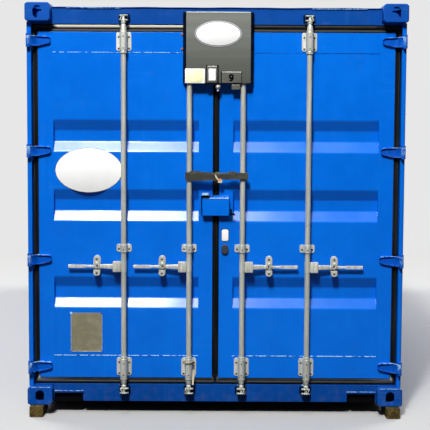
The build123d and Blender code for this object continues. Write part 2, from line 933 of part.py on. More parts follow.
for beam_name, beam_height in zip(("sill", "header"), cam_heights):
    with BuildPart() as keepers:
        with Locations(*[(bar_x, 0, beam_height) for bar_x in bar_positions]):
            add(keeper.part)
        mirror(about=Plane.YZ)
    save(keepers, f"{beam_name}_keepers")

# Guide brackets: a plate on the leaf and an arched cap round the bar
with BuildPart() as bar_brackets:
    for bar_x in bar_positions:
        for bracket_bottom, bracket_top in bracket_spans:
            with BuildSketch(level(bracket_bottom)):
                with Locations((bar_x, leaf_front - bracket_plate / 2)):
                    Rectangle(bracket_width, bracket_plate)
                cap_radius = bar_radius + bracket_clearance + bracket_cap_wall
                with Locations((bar_x, bar_depth)):
                    Circle(cap_radius)
                with Locations((bar_x, (bar_depth + leaf_front) / 2)):
                    Rectangle(2 * cap_radius, leaf_front - bar_depth)
                bore_radius = bar_radius + bracket_clearance
                with Locations((bar_x, bar_depth)):
                    Circle(bore_radius, mode=Mode.SUBTRACT)
                with Locations((bar_x, (bar_depth + leaf_front - bracket_plate) / 2)):
                    Rectangle(2 * bore_radius, leaf_front - bracket_plate - bar_depth, mode=Mode.SUBTRACT)
            extrude(amount=bracket_top - bracket_bottom)
save_pair(bar_brackets, "bar_brackets")

# Handle seats: a plate on the leaf, a shelf under the lever and a rounded front lip
with BuildPart() as handle_seats:
    for bar_x in bar_positions:
        seat_x = bar_x + catch_x
        seat_range = (seat_x - catch_width / 2, seat_x + catch_width / 2)
        seat_front = lever_front - catch_plate
        shelf_top = handle_height + seat_shelf
        block(
            seat_range,
            (leaf_front - catch_plate, leaf_front),
            (handle_height + seat_bottom, handle_height + seat_top),
        )
        block(
            seat_range,
            (seat_front, leaf_front - catch_plate),
            (shelf_top - seat_shelf_plate, shelf_top),
        )
        with BuildSketch(facing(seat_front + catch_plate)):
            with Locations((seat_x, shelf_top - catch_width / 2)):
                Circle(catch_width / 2)
            with Locations((seat_x, shelf_top - catch_width / 4)):
                Rectangle(catch_width, catch_width / 2)
            with Locations((seat_x, shelf_top - catch_width / 2)):
                Circle(catch_hole_radius, mode=Mode.SUBTRACT)
        extrude(amount=catch_plate)
save_pair(handle_seats, "handle_seats")


def cover_face(depth, width, top, inset):
    """Outline of the cover box at one depth; that of its hollow is smaller by inset and runs out below."""
    low = cover_bottom if inset == 0 else cover_bottom - 2 * cover_radius
    with BuildSketch(facing(depth), mode=Mode.PRIVATE) as outline:
        with Locations((cover_centre, (low + top - inset) / 2)):
            RectangleRounded(width - 2 * inset, top - inset - low, cover_radius)
    return outline.sketch.face()


def cover_shape(inset):
    """Loft of the cover box from its open back to its front face, or of its hollow when inset."""
    back_depth = cover_back if inset == 0 else cover_back + inset
    faces = [
        cover_face(back_depth, cover_back_width, cover_back_top, inset),
        cover_face(cover_front + inset, cover_width, cover_top, inset),
    ]
    loft(faces, mode=Mode.ADD if inset == 0 else Mode.SUBTRACT)


# Cover box: a tapered shell, open at the back and below, with a floor strip between the inner bars
with BuildPart() as cover_box:
    cover_shape(0)
    cover_shape(cover_wall)
    block(
        (cover_centre - cover_floor_width / 2, cover_centre + cover_floor_width / 2),
        (cover_front, cover_back),
        (cover_bottom, cover_bottom + cover_wall),
    )
    cover_right = cover_centre + cover_back_width / 2
    for foot_bottom in (cover_bottom, leaf_top - 2 * cover_foot_height):
        block(
            (cover_right - cover_foot_width, cover_right),
            (cover_back, leaf_front),
            (foot_bottom, foot_bottom + cover_foot_height),
        )
    with BuildSketch(facing(knob_front + knob_length)):
        with Locations((knob_place[0], cover_bottom + knob_place[1])):
            SlotOverall(knob_size[1], knob_size[0], rotation=90)
    extrude(amount=knob_length, mode=Mode.SUBTRACT)
save(cover_box, "cover_box")

# Fittings on the cover box: a number plate, a small module, a round knob and a tab
with BuildPart() as cover_fittings:
    with BuildSketch(facing(cover_front)):
        with Locations((plate_place[0], cover_bottom + plate_place[1])):
            Rectangle(plate_size[0], plate_size[1])
    extrude(amount=plate_size[2])
    with BuildSketch(facing(cover_front)):
        with Locations((module_place[0], cover_bottom + module_place[1])):
            Rectangle(module_size[0], module_size[1])
    extrude(amount=module_size[2])
    chamfer(cover_fittings.faces().sort_by(Axis.Y)[0].edges(), module_chamfer)
    with BuildSketch(facing(knob_front + knob_length)):
        with Locations((knob_place[0], cover_bottom + knob_place[1])):
            SlotOverall(knob_size[1], knob_size[0], rotation=90)
    extrude(amount=knob_length)
save(cover_fittings, "cover_fittings")

# Padlock box: a hood on the right leaf that reaches over the edge of the left one
with BuildPart() as padlock_box:
    block(
        (-lockbox_half_width, lockbox_half_width),
        (lockbox_front, leaf_front),
        (lockbox_bottom, lockbox_top),
    )
    with BuildSketch(across(leaf_edge)):
        with BuildLine():
            Polyline(
                (leaf_front, lockbox_top),
                (leaf_front, lockbox_top + lockbox_hood),
                (lockbox_front + lockbox_hood, lockbox_top),
                close=True,
            )
        make_face()
    extrude(amount=lockbox_half_width - leaf_edge)
    block(
        (-lockbox_half_width + lockbox_wall, lockbox_half_width - lockbox_wall),
        (lockbox_front + lockbox_wall, leaf_front),
        (lockbox_bottom, lockbox_top - lockbox_wall),
        mode=Mode.SUBTRACT,
    )
    block(
        (-lockbox_half_width, leaf_edge),
        (leaf_front - lockbox_clear, leaf_front),
        (lockbox_bottom, lockbox_top),
        mode=Mode.SUBTRACT,
    )
    with BuildSketch(across(lockbox_half_width)):
        with Locations((bar_depth, lock_bolt_height + lock_bolt_radius)):
            Circle(lock_bolt_radius)
    extrude(amount=lock_bolt_reach, taper=6)
save(padlock_box, "padlock_box")

# Tab on the left leaf above the padlock box
with BuildPart() as padlock_tab:
    block((tab_left, tab_right), (tab_front, leaf_front), (tab_bottom, tab_top))
    block(
        (tab_left + tab_sheet, tab_right - tab_sheet),
        (tab_front, leaf_front - tab_sheet),
        (tab_bottom, tab_top - tab_sheet),
        mode=Mode.SUBTRACT,
    )
save(padlock_tab, "padlock_tab")

# Strap in front of both inner bars, hooked round the right one
with BuildPart() as bar_strap:
    strap_back = strap_front + strap_thickness
    block((strap_left, strap_right), (strap_front, strap_back), (strap_bottom, strap_top))
    ring_radius = bar_radius + strap_ring_clearance + strap_ring_wall
    with BuildSketch(level(strap_bottom)):
        with Locations((bar_positions[0], bar_depth)):
            Circle(ring_radius)
        with Locations((bar_positions[0], (strap_back + bar_depth) / 2)):
            Rectangle(2 * ring_radius, bar_depth - strap_back)
        with Locations((bar_positions[0], bar_depth)):
            Circle(bar_radius + strap_ring_clearance, mode=Mode.SUBTRACT)
    extrude(amount=strap_top - strap_bottom)
save(bar_strap, "bar_strap")

# Oval sensor cover on the right leaf
with BuildPart() as door_sensor:
    with BuildSketch(facing(leaf_front)):
        with Locations(puck_centre):
            SlotOverall(puck_height, puck_width, rotation=90)
    extrude(amount=puck_thickness)
    chamfer(door_sensor.faces().sort_by(Axis.Y)[0].edges(), puck_thickness / 4)
save(door_sensor, "door_sensor")
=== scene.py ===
"""Visual model of a shut twenty foot shipping container, seen from its door end.

Sizes of pieces are in millimetres, given as x from the centre line, depth behind the door end of
the corner castings, and height above the underside of the corner castings.
"""
import json
import logging
import math
from collections.abc import Callable, Sequence
from dataclasses import dataclass, field
from enum import Enum

import bmesh
import bpy
import numpy as np
from mathutils import Matrix, Vector


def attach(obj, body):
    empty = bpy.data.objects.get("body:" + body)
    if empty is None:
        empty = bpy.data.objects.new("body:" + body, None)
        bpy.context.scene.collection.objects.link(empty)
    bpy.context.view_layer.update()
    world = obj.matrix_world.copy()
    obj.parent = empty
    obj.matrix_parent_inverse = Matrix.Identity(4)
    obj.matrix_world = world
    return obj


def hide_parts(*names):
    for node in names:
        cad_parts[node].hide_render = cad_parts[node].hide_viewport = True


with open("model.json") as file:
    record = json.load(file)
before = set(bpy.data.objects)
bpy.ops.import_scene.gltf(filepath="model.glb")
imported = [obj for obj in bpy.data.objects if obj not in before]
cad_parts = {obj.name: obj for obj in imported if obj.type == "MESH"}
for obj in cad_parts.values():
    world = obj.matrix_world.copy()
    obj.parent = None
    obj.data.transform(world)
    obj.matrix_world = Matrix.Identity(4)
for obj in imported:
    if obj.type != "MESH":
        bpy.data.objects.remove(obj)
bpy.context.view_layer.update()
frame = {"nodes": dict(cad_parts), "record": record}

log = logging.getLogger("container")

MM = 0.001
MERGE_DISTANCE = 2e-5
DOOR_END = -3029.0
UNDERSIDE = 70.0
LEAF_FRONT = 75.0
LEAF_EDGE = 21.0
LEAF_SIDE = 1146.0
LEAF_BOTTOM = 170.0
LEAF_TOP = 2412.0
PANEL_INSIDE = 110.0
PANEL_OUTSIDE = 1050.0
PANEL_BOTTOM = 315.0
PANEL_TOP = 2282.0
TROUGHS = (730.5, 1299.97, 1748.37)
BAR_DEPTH = 37.0
BAR_PLACES = (172.0, 594.0)
HANDLE_HEIGHT = 905.0
PIN_PLACE = (1200.0, 22.0)
HINGE_HEIGHTS = (245.0, 948.0, 1651.0, 2354.0)
BRACKET_SPANS = ((184.0, 303.0), (998.0, 1049.0), (2292.0, 2411.0))
# Top edges of sill, castings and header with pale flakes: chips and painted highlight.
WORN_AND_HIGHLIGHT_LINES = (
    ((864.0, 59.0, 83.0), (1050.0, 59.0, 83.0)),
    ((1072.0, 1.0, 117.0), (1206.0, 1.0, 117.0)),
    ((610.0, 68.0, 2562.0), (960.0, 68.0, 2562.0)),
)
CAM_HEIGHTS = (100.0, 2489.0)

Pair = tuple[float, float]
RGB = tuple[float, float, float]
Place = tuple[float, float, float]
DOORS_MIDDLE: Place = (0.0, DOOR_END * MM, 1.4)
BOX_MIDDLE: Place = (0.0, 0.0, 1.2)
NODE_BODY = {node: body for body, nodes in frame["record"]["behaviour"]["bodies"].items() for node in nodes}


class Side(Enum):
    """The two doors: the sign of x on each, and the name of the body."""

    LEFT = ("left", -1.0)
    RIGHT = ("right", 1.0)

    @property
    def label(self) -> str:
        """Name of the side as the CAD nodes use it."""
        return self.value[0]

    @property
    def sign(self) -> float:
        """Sign of x on this side."""
        return self.value[1]

    @property
    def door(self) -> str:
        """Body that this side's door pieces ride on."""
        return f"{self.label}_door"


def linear(red: float, green: float, blue: float) -> RGB:
    """Turns a colour as seen on a screen, 0 to 255, into the linear colour that shaders take.

    Args:
        red: Red, 0 to 255.
        green: Green, 0 to 255.
        blue: Blue, 0 to 255.

    Returns:
        The linear colour.
    """
    shares = np.array((red, green, blue)) / 255
    curved = ((shares + 0.055) / 1.055) ** 2.4
    return tuple(float(v) for v in np.where(shares < 0.04045, shares / 12.92, curved))


# Shader values


class Value:
    """An output of a material's nodes. Arithmetic on it adds Math nodes."""

    def __init__(self, kit: "NodeKit", socket: bpy.types.NodeSocket) -> None:
        self.kit = kit
        self.socket = socket

    def _math(self, operation: str, *terms: "Value | float") -> "Value":
        """Adds one Math node for the terms."""
        return self.kit.node("ShaderNodeMath", {"operation": operation}, dict(enumerate(terms)))

    def __add__(self, other: "Value | float") -> "Value":
        """Sum."""
        return self._math("ADD", self, other)

    def __sub__(self, other: "Value | float") -> "Value":
        """Difference."""
        return self._math("SUBTRACT", self, other)

    def __rsub__(self, other: float) -> "Value":
        """Difference taken from a number."""
        return self._math("SUBTRACT", other, self)

    def __mul__(self, other: "Value | float") -> "Value":
        """Product."""
        return self._math("MULTIPLY", self, other)

    __radd__ = __add__
    __rmul__ = __mul__

    def larger(self, other: "Value | float") -> "Value":
        """The larger of the two."""
        return self._math("MAXIMUM", self, other)

    def step(self, low: float, high: float) -> "Value":
        """Smooth step from 0 at low to 1 at high; low may be the larger one.

        Args:
            low: Where it is 0.
            high: Where it is 1.

        Returns:
            The step.
        """
        ends = {"From Min": low, "From Max": high, "To Min": 0.0, "To Max": 1.0}
        if low > high:
            ends = {"From Min": high, "From Max": low, "To Min": 1.0, "To Max": 0.0}
        return self.kit.node(
            "ShaderNodeMapRange", {"interpolation_type": "SMOOTHSTEP"}, {"Value": self, **ends}
        )


class NodeKit:
    """Builds one material out of nodes."""

    def __init__(self, name: str, tree: bpy.types.NodeTree | None = None) -> None:
        """Starts an empty material whose patterns follow Object coordinates, or works in another tree.

        Args:
            name: The material's name.
            tree: A tree to work in, instead of a new material's.
        """
        if tree is None:
            self.material = bpy.data.materials.new(name)
            self.material.use_nodes = True
            tree = self.material.node_tree
        self.tree = tree
        self.tree.nodes.clear()
        self.place = self.node("ShaderNodeTexCoord", output="Object")
        self._axes: dict[str, Value] = {}

    def node(
        self,
        kind: str,
        settings: dict[str, object] | None = None,
        inputs: dict[str | int, object] | None = None,
        output: str | int = 0,
    ) -> Value:
        """Adds one node.

        Args:
            kind: The node's type.
            settings: Its properties, set first.
            inputs: Values or links of its sockets, by name or number.
            output: The socket to hand back.

        Returns:
            The chosen output.
        """
        made = self.tree.nodes.new(kind)
        for key, setting in (settings or {}).items():
            setattr(made, key, setting)
        for key, given in (inputs or {}).items():
            if isinstance(given, Value):
                self.tree.links.new(given.socket, made.inputs[key])
            else:
                made.inputs[key].default_value = given
        return Value(self, made.outputs[output]) if len(made.outputs) else Value(self, None)

    def axis(self, name: str) -> Value:
        """One of the Object coordinates X, Y and Z, in metres."""
        if name not in self._axes:
            self._axes[name] = self.node("ShaderNodeSeparateXYZ", None, {"Vector": self.place}, name)
        return self._axes[name]

    def stretched(self, scale: Place, shift: Place = (0.0, 0.0, 0.0)) -> Value:
        """Object coordinates scaled and shifted along each axis."""
        return self.node("ShaderNodeMapping", None, {"Vector": self.place, "Location": shift, "Scale": scale})

    def noise(self, scale: Place | float, detail: float = 3.0, shift: Place = (0.0, 0.0, 0.0)) -> Value:
        """Soft noise about 0.5, with its own scale along each axis, in bumps a metre.

        Args:
            scale: Bumps a metre, one number or one for each axis.
            detail: Octaves of finer noise.
            shift: Moves the pattern.

        Returns:
            The noise as a number.
        """
        along = (scale, scale, scale) if isinstance(scale, float) else scale
        return self.node(
            "ShaderNodeTexNoise",
            None,
            {"Vector": self.stretched(along, shift), "Scale": 1.0, "Detail": detail, "Roughness": 0.55},
        )

    def attribute(self, name: str) -> Value:
        """A number kept on the mesh's own points."""
        return self.node("ShaderNodeAttribute", {"attribute_name": name}, None, "Fac")

    def mix(self, factor: "Value | float", first: "Value | RGB", second: "Value | RGB") -> Value:
        """Mixes two colours.

        Args:
            factor: Share of the second colour.
            first: Colour at 0.
            second: Colour at 1.

        Returns:
            The mixed colour.
        """
        colours = {6: self._rgba(first), 7: self._rgba(second)}
        return self.node("ShaderNodeMix", {"data_type": "RGBA"}, {0: factor, **colours}, 2)

    @staticmethod
    def _rgba(colour: "Value | RGB") -> "Value | tuple[float, ...]":
        """A plain colour with its alpha, or the value as it is."""
        return colour if isinstance(colour, Value) else (*colour, 1.0)

    def bump(self, height: Value, distance: float, strength: float = 1.0) -> Value:
        """Normal of a surface with this height, distance in metres."""
        return self.node(
            "ShaderNodeBump", None, {"Strength": strength, "Distance": distance, "Height": height}
        )

    def finish(
        self, colour: "Value | RGB", roughness: "Value | float", **sockets: object
    ) -> bpy.types.Material:
        """Closes the material with a Principled shader.

        Args:
            colour: Base colour.
            roughness: Roughness.
            **sockets: Other sockets, with underscores for spaces.

        Returns:
            The finished material.
        """
        inputs: dict[str | int, object] = {"Base Color": self._rgba(colour), "Roughness": roughness}
        inputs.update({name.replace("_", " "): given for name, given in sockets.items()})
        shader = self.node("ShaderNodeBsdfPrincipled", None, inputs)
        self.node("ShaderNodeOutputMaterial", None, {"Surface": shader})
        return self.material


# Finishes


@dataclass(frozen=True)
class Finish:
    """A surface finish that makes its material once and hands out the same one after that."""

    name: str

    def material(self) -> bpy.types.Material:
        """The finish's material, made at its first use."""
        return bpy.data.materials.get(self.name) or self._make()

    def _make(self) -> bpy.types.Material:
        """Builds the material."""
        raise NotImplementedError


@dataclass(frozen=True)
class Paint(Finish):
    """Sprayed enamel on steel: faded patches, rain streaks, scuffs, chips and rust, and on some finishes pale
    flakes and marked edges that are partly painted highlight.
    """

    colour: RGB = (0.1, 0.3, 0.7)
    shade: RGB = (0.05, 0.2, 0.5)
    scuff: RGB = (0.3, 0.5, 0.8)
    gloss: float = 0.32
    specular: float = 0.2
    wear: float = 0.3
    rust: float = 0.2
    streaks: float = 0.3
    dents: float = 0.3
    flaked_and_highlight: float = 0.0
    wear_and_highlight: float = 0.0

    def _make(self) -> bpy.types.Material:
        """Builds the material."""
        kit = NodeKit(self.name)
        patches = kit.noise(1.1, 3.0)
        mottle = kit.noise(9.0, 5.0, (3.0, 1.0, 2.0))
        rain = kit.noise((26.0, 26.0, 0.9), 4.0)
        cloud = (patches * 0.6 + mottle * 0.4).step(0.35, 0.68)
        colour = kit.mix(cloud, self.shade, self.colour)
        colour = kit.mix(rain.step(0.55, 0.78) * self.streaks, colour, self.scuff)
        soot = kit.noise((18.0, 18.0, 1.6), 3.0, (7.0, 2.0, 0.0))
        colour = kit.mix(soot.step(0.58, 0.8) * self.streaks, colour, tuple(0.55 * v for v in self.shade))
        scratch = kit.noise((3.0, 160.0, 160.0), 2.0) * kit.noise(3.1, 2.0, (1.0, 5.0, 9.0)).step(0.48, 0.62)
        colour = kit.mix(scratch.step(0.52, 0.62) * self.wear, colour, self.scuff)
        chips = kit.noise(75.0, 3.0) * kit.noise(4.5, 2.0, (5.0, 5.0, 5.0)).step(0.5, 0.66)
        chipped = chips.step(0.56, 0.6) * self.rust
        colour = kit.mix(chipped, colour, linear(96, 58, 38))
        splash = kit.axis("Z").step(0.3, 0.06) * kit.noise(22.0, 4.0).step(0.46, 0.74)
        colour = kit.mix(splash * 0.16, colour, linear(112, 104, 88))
        # Pale flakes: chips, and on weld beads and top edges painted highlight.
        if self.flaked_and_highlight:
            flakes_and_highlights = kit.noise(38.0, 2.0, (9.0, 2.0, 4.0)).step(
                0.62 - 0.2 * self.flaked_and_highlight, 0.68 - 0.2 * self.flaked_and_highlight
            )
            colour = kit.mix(flakes_and_highlights, colour, PALE_CHIP_AND_HIGHLIGHT)
        # Pale marks from the mesh: rubbed paint and painted highlight along the hinge blades' edges.
        if self.wear_and_highlight:
            rubbed_and_highlight = kit.attribute("wear_and_highlight")
            rubbed_and_highlight = rubbed_and_highlight * kit.noise(44.0, 3.0, (2.0, 2.0, 7.0)).step(0.38, 0.62) * self.wear_and_highlight
            colour = kit.mix(rubbed_and_highlight, colour, PALE_CHIP_AND_HIGHLIGHT)
        roughness = mottle * 0.12 + (self.gloss - 0.06) + chipped * 0.4 + splash * 0.25
        swell = kit.noise(2.6, 1.0) * self.dents
        orange = kit.noise(420.0, 1.0) * 0.012
        bump = kit.bump(swell + orange - chipped * 0.05, 0.004, 0.5)
        return kit.finish(colour, roughness, Normal=bump, Specular_IOR_Level=self.specular)


@dataclass(frozen=True)
class Zinc(Finish):
    """Hot dip galvanised steel: pale spangled zinc with dull white bloom and rust in the corners."""

    colour: RGB = (0.6, 0.6, 0.55)
    bloom: RGB = (0.75, 0.75, 0.7)
    rust: float = 0.2
    metallic: float = 0.35

    def _make(self) -> bpy.types.Material:
        """Builds the material."""
        kit = NodeKit(self.name)
        cells = kit.node(
            "ShaderNodeTexVoronoi", None, {"Vector": kit.stretched((70.0, 70.0, 70.0)), "Scale": 1.0}, "Color"
        )
        spangle = kit.node("ShaderNodeSeparateColor", None, {"Color": cells}, 0)
        drips = kit.noise((60.0, 60.0, 4.0), 4.0)
        colour = kit.mix(drips.step(0.4, 0.65), self.colour, self.bloom)
        colour = kit.mix(spangle * 0.14, colour, tuple(0.7 * v for v in self.colour))
        stain = kit.noise(34.0, 4.0, (2.0, 8.0, 1.0)).step(0.6, 0.72) * self.rust
        colour = kit.mix(stain, colour, linear(104, 74, 48))
        bump = kit.bump(kit.noise(160.0, 3.0) * 0.2 + drips * 0.2, 0.0015, 0.6)
        rough = drips * 0.15 + spangle * 0.08 + 0.36 + stain * 0.3
        return kit.finish(colour, rough, Metallic=self.metallic, Normal=bump)


@dataclass(frozen=True)
class Rubber(Finish):
    """Black extruded rubber, mixed to a pale colour where the mesh's mark says: part road dust, part painted
    highlight.
    """

    colour: RGB = (0.01, 0.01, 0.01)
    dust_and_highlight: RGB = (0.6, 0.55, 0.45)

    def _make(self) -> bpy.types.Material:
        """Builds the material."""
        kit = NodeKit(self.name)
        film = kit.noise((30.0, 30.0, 3.0), 4.0).step(0.35, 0.8) * 0.25
        colour = kit.mix(film, self.colour, linear(58, 58, 54))
        dust_and_highlight_amount = kit.attribute("dust_and_highlight") * (kit.noise((1.3, 1.3, 60.0), 3.0) * 0.5 + 0.75)
        colour = kit.mix(dust_and_highlight_amount.step(0.2, 0.9), colour, self.dust_and_highlight)
        bump = kit.bump(kit.noise(90.0, 3.0), 0.001, 0.4)
        return kit.finish(colour, film * 0.6 + 0.5, Normal=bump, Specular_IOR_Level=0.3)


@dataclass(frozen=True)
class Plastic(Finish):
    """Moulded or sheet cover with faint streaks, scuffs, a fine grain and, where asked, a painted sheen."""

    colour: RGB = (0.2, 0.2, 0.2)
    streak: RGB = (0.15, 0.15, 0.15)
    along: Place = (1.5, 1.5, 40.0)
    roughness: float = 0.5
    grain: float = 0.3
    specular: float = 0.3
    pale: RGB | None = None

    def _make(self) -> bpy.types.Material:
        """Builds the material."""
        kit = NodeKit(self.name)
        bands = kit.noise(self.along, 4.0)
        cloud = kit.noise(6.0, 4.0, (1.0, 2.0, 3.0))
        colour = kit.mix((bands * 0.5 + cloud * 0.5).step(0.38, 0.62), self.colour, self.streak)
        # The pale colour where the mesh's pale mark says: on the cover, a painted sheen.
        if self.pale:
            colour = kit.mix(kit.attribute("pale") * (bands * 0.8 + 0.6), colour, self.pale)
        scuffs = kit.noise((4.0, 90.0, 90.0), 3.0, (4.0, 4.0, 4.0)).step(0.64, 0.74)
        colour = kit.mix(scuffs * 0.35, colour, tuple(min(1.0, 1.6 * v) for v in self.colour))
        bump = kit.bump(kit.noise(700.0, 2.0) * 0.3 + bands * 0.1, 0.0006, self.grain)
        return kit.finish(
            colour, cloud * 0.1 + (self.roughness - 0.05), Normal=bump, Specular_IOR_Level=self.specular
        )


@dataclass(frozen=True)
class Wood(Finish):
    """Sawn timber or plywood: grain along one axis, dark end streaks and ground-in dirt."""

    pale: RGB = (0.4, 0.3, 0.2)
    dark: RGB = (0.15, 0.1, 0.05)
    grain: Place = (40.0, 2.0, 40.0)

    def _make(self) -> bpy.types.Material:
        """Builds the material."""
        kit = NodeKit(self.name)
        fibre = kit.noise(self.grain, 5.0)
        board = kit.noise(tuple(0.25 * v for v in self.grain), 2.0, (2.0, 0.0, 1.0))
        colour = kit.mix((fibre * 0.6 + board * 0.4).step(0.36, 0.64), self.dark, self.pale)
        dirt = kit.noise(12.0, 4.0).step(0.5, 0.75)
        colour = kit.mix(dirt * 0.6, colour, tuple(0.6 * v for v in self.dark))
        return kit.finish(colour, 0.85, Normal=kit.bump(fibre, 0.002, 0.8), Specular_IOR_Level=0.2)


@dataclass(frozen=True)
class Film(Finish):
    """Printed or plain vinyl film: clean, slightly uneven, dusty near its edges."""

    colour: RGB = (0.9, 0.9, 0.9)
    soil: RGB = (0.7, 0.7, 0.65)
    amount: float = 0.25
    roughness: float = 0.4

    def _make(self) -> bpy.types.Material:
        """Builds the material."""
        kit = NodeKit(self.name)
        soil = kit.noise((9.0, 9.0, 5.0), 5.0).step(0.45, 0.8) * self.amount
        colour = kit.mix(soil, self.colour, self.soil)
        bump = kit.bump(kit.noise(60.0, 2.0), 0.0004, 0.4)
        return kit.finish(colour, soil * 0.4 + self.roughness, Normal=bump, Specular_IOR_Level=0.25)


@dataclass(frozen=True)
class Torn(Finish):
    """Weathered grey webbing with blotches of dirt and pale threads along its torn edges."""

    colour: RGB = (0.1, 0.09, 0.08)
    thread: RGB = (0.3, 0.27, 0.22)

    def _make(self) -> bpy.types.Material:
        """Builds the material."""
        kit = NodeKit(self.name)
        blotch = kit.noise((22.0, 22.0, 30.0), 5.0)
        colour = kit.mix(blotch.step(0.36, 0.66), self.colour, tuple(1.7 * v for v in self.colour))
        fray = kit.attribute("fray") * kit.noise(120.0, 3.0).step(0.35, 0.6)
        colour = kit.mix(fray, colour, self.thread)
        weave = kit.noise((700.0, 700.0, 180.0), 2.0)
        return kit.finish(colour, 0.8, Normal=kit.bump(weave + blotch, 0.0012, 0.7), Specular_IOR_Level=0.2)


# Pale of bare chips, also used as painted highlight on edges that face the light.
PALE_CHIP_AND_HIGHLIGHT = linear(168, 212, 246)
DOOR_BLUE = Paint(
    "door_enamel", linear(0, 112, 226), linear(0, 104, 216), linear(36, 140, 238),
    gloss=0.23, specular=0.34, wear=0.12, rust=0.05, streaks=0.1, dents=0.35,
)
FRAME_BLUE = Paint(
    "frame_enamel", linear(4, 73, 158), linear(2, 66, 146), linear(42, 102, 188),
    gloss=0.38, specular=0.15, wear=0.3, rust=0.12, streaks=0.3, dents=0.25,
)
CASTING_BLUE = Paint(
    "casting_enamel", linear(6, 82, 176), linear(2, 72, 160), linear(60, 128, 206),
    gloss=0.45, specular=0.15, wear=0.2, rust=0.15, streaks=0.35, dents=0.6,
)
WALL_BLUE = Paint(
    "wall_enamel", linear(12, 98, 204), linear(8, 86, 188), linear(70, 140, 220),
    gloss=0.36, specular=0.25, wear=0.3, rust=0.2, streaks=0.4, dents=0.35,
)
FITTING_BLUE = Paint(
    "fitting_enamel", linear(4, 94, 200), linear(2, 80, 182), linear(60, 140, 226),
    gloss=0.36, specular=0.15, wear=0.1, rust=0.15, streaks=0.3, dents=0.4, wear_and_highlight=0.85,
)
# Pale flaked edge paint: real chips, and painted highlight along weld beads and upward edges.
WORN_EDGE_AND_HIGHLIGHT = Paint(
    "worn_edge_and_highlight_enamel", linear(20, 100, 206), linear(10, 84, 188), linear(150, 190, 240),
    gloss=0.36, specular=0.2, wear=0.3, rust=0.0, streaks=0.4, dents=0.4, flaked_and_highlight=0.95,
)
# Keeper blue darkened as painted shade, the keepers standing mostly in shadow.
KEEPER_BLUE_AND_SHADE = Paint(
    "keeper_enamel_and_shade", linear(14, 48, 104), linear(8, 34, 80), linear(90, 140, 206),
    gloss=0.5, specular=0.15, wear=0.4, rust=0.3, streaks=0.3, dents=0.4, flaked_and_highlight=0.1,
)
UNDERCOAT = Paint(
    "underbody_coating", linear(36, 36, 38), linear(24, 24, 26), linear(60, 56, 50),
    gloss=0.6, specular=0.2, wear=0.4, rust=0.8, streaks=0.4, dents=0.4,
)
# Dark navy that stands for shade: keeper pockets, the gap beside the padlock box and the padlock's bolt end.
PAINTED_SHADE_NAVY = Plastic(
    "painted_shade_navy", linear(6, 12, 30), linear(10, 22, 50), (20.0, 20.0, 20.0),
    roughness=0.8, grain=0.05, specular=0.03,
)
ZINC = Zinc("galvanised_steel", linear(198, 200, 190), linear(226, 227, 216))
BAR_ZINC = Zinc("bar_zinc", linear(192, 196, 182), linear(216, 218, 204))
BLACK_RUBBER = Rubber("gasket_rubber", linear(12, 13, 15), linear(226, 221, 203))
PLYWOOD = Wood("floor_plywood", linear(150, 108, 72), linear(96, 62, 40), (40.0, 3.0, 40.0))
TIMBER = Wood("block_timber", linear(112, 96, 48), linear(58, 48, 24), (60.0, 4.0, 60.0))
# pale: colour of the painted sheen near the cover's top.
COVER_GREY = Plastic(
    "cover_sheet", linear(59, 61, 54), linear(50, 52, 45), (1.2, 1.2, 30.0),
    specular=0.1, pale=linear(121, 124, 118),
)
# Near-white for painted highlights along lit top edges.
PAINTED_HIGHLIGHT_PALE = Plastic("painted_highlight_edge", linear(232, 234, 224), linear(196, 198, 188), (30.0, 2.0, 30.0))
# Near-black navy of the cover's sides and underside; also painted shade in the gaps round the module and
# number plate and on the stems under the cover.
COVER_FLANK_AND_SHADE = Plastic(
    "cover_flank_and_shade", linear(10, 15, 28), linear(6, 9, 20), (4.0, 4.0, 4.0), roughness=0.6, specular=0.05
)
FITTING_GREY = Plastic("cover_fitting_grey", linear(100, 101, 94), linear(88, 89, 82), (8.0, 8.0, 50.0))
SENSOR_BLACK = Plastic(
    "sensor_black", linear(8, 9, 14), linear(12, 13, 20), roughness=0.6, grain=0.05, specular=0.05
)
# Black for print, and for painted shade in the sill notches and the padlock tab's slot.
PRINT_AND_SHADE_BLACK = Plastic(
    "print_and_shade_black", linear(5, 5, 8), linear(8, 8, 12), roughness=0.6, grain=0.05, specular=0.05
)
WHITE_FILM = Film("white_film", linear(250, 250, 248), linear(228, 230, 226), amount=0.2)
YELLOW_FILM = Film("yellow_film", linear(250, 250, 200), linear(240, 238, 190), amount=0.2)
BAND_FILM = Film("grey_band_film", linear(176, 175, 182), linear(150, 149, 158), amount=0.3)
RIM_FILM = Film("grey_rim_film", linear(92, 92, 96), linear(78, 79, 84), amount=0.4)
PLATE_METAL = Plastic(
    "data_plate_metal", linear(128, 122, 98), linear(142, 138, 116), (30.0, 30.0, 34.0), roughness=0.55
)
BRIGHT_STEEL = Zinc("bright_steel", linear(220, 222, 214), linear(240, 240, 234), rust=0.0, metallic=0.6)
# Dark steel of the bolt heads; also painted shade in the holes of the catches and bracket caps.
DARK_STEEL_AND_HOLE_SHADE = Zinc("dark_bolt_steel_and_hole_shade", linear(58, 58, 60), linear(84, 82, 78), rust=0.5, metallic=0.5)
RUSTY = Zinc("rusty_bolt", linear(140, 76, 44), linear(164, 98, 60), rust=0.9, metallic=0.1)
WEBBING = Torn("strap_webbing", linear(54, 55, 49), linear(128, 124, 108))
TAG_ORANGE = Film("tag_orange", linear(226, 150, 90), linear(200, 120, 80), amount=0.6, roughness=0.6)
TIE_WIRE = Zinc("tie_wire", linear(150, 134, 108), linear(176, 164, 138), rust=0.5, metallic=0.2)
TAG_TAN = Film("tag_tan", linear(226, 214, 182), linear(190, 172, 132), amount=0.6, roughness=0.6)


# Shapes


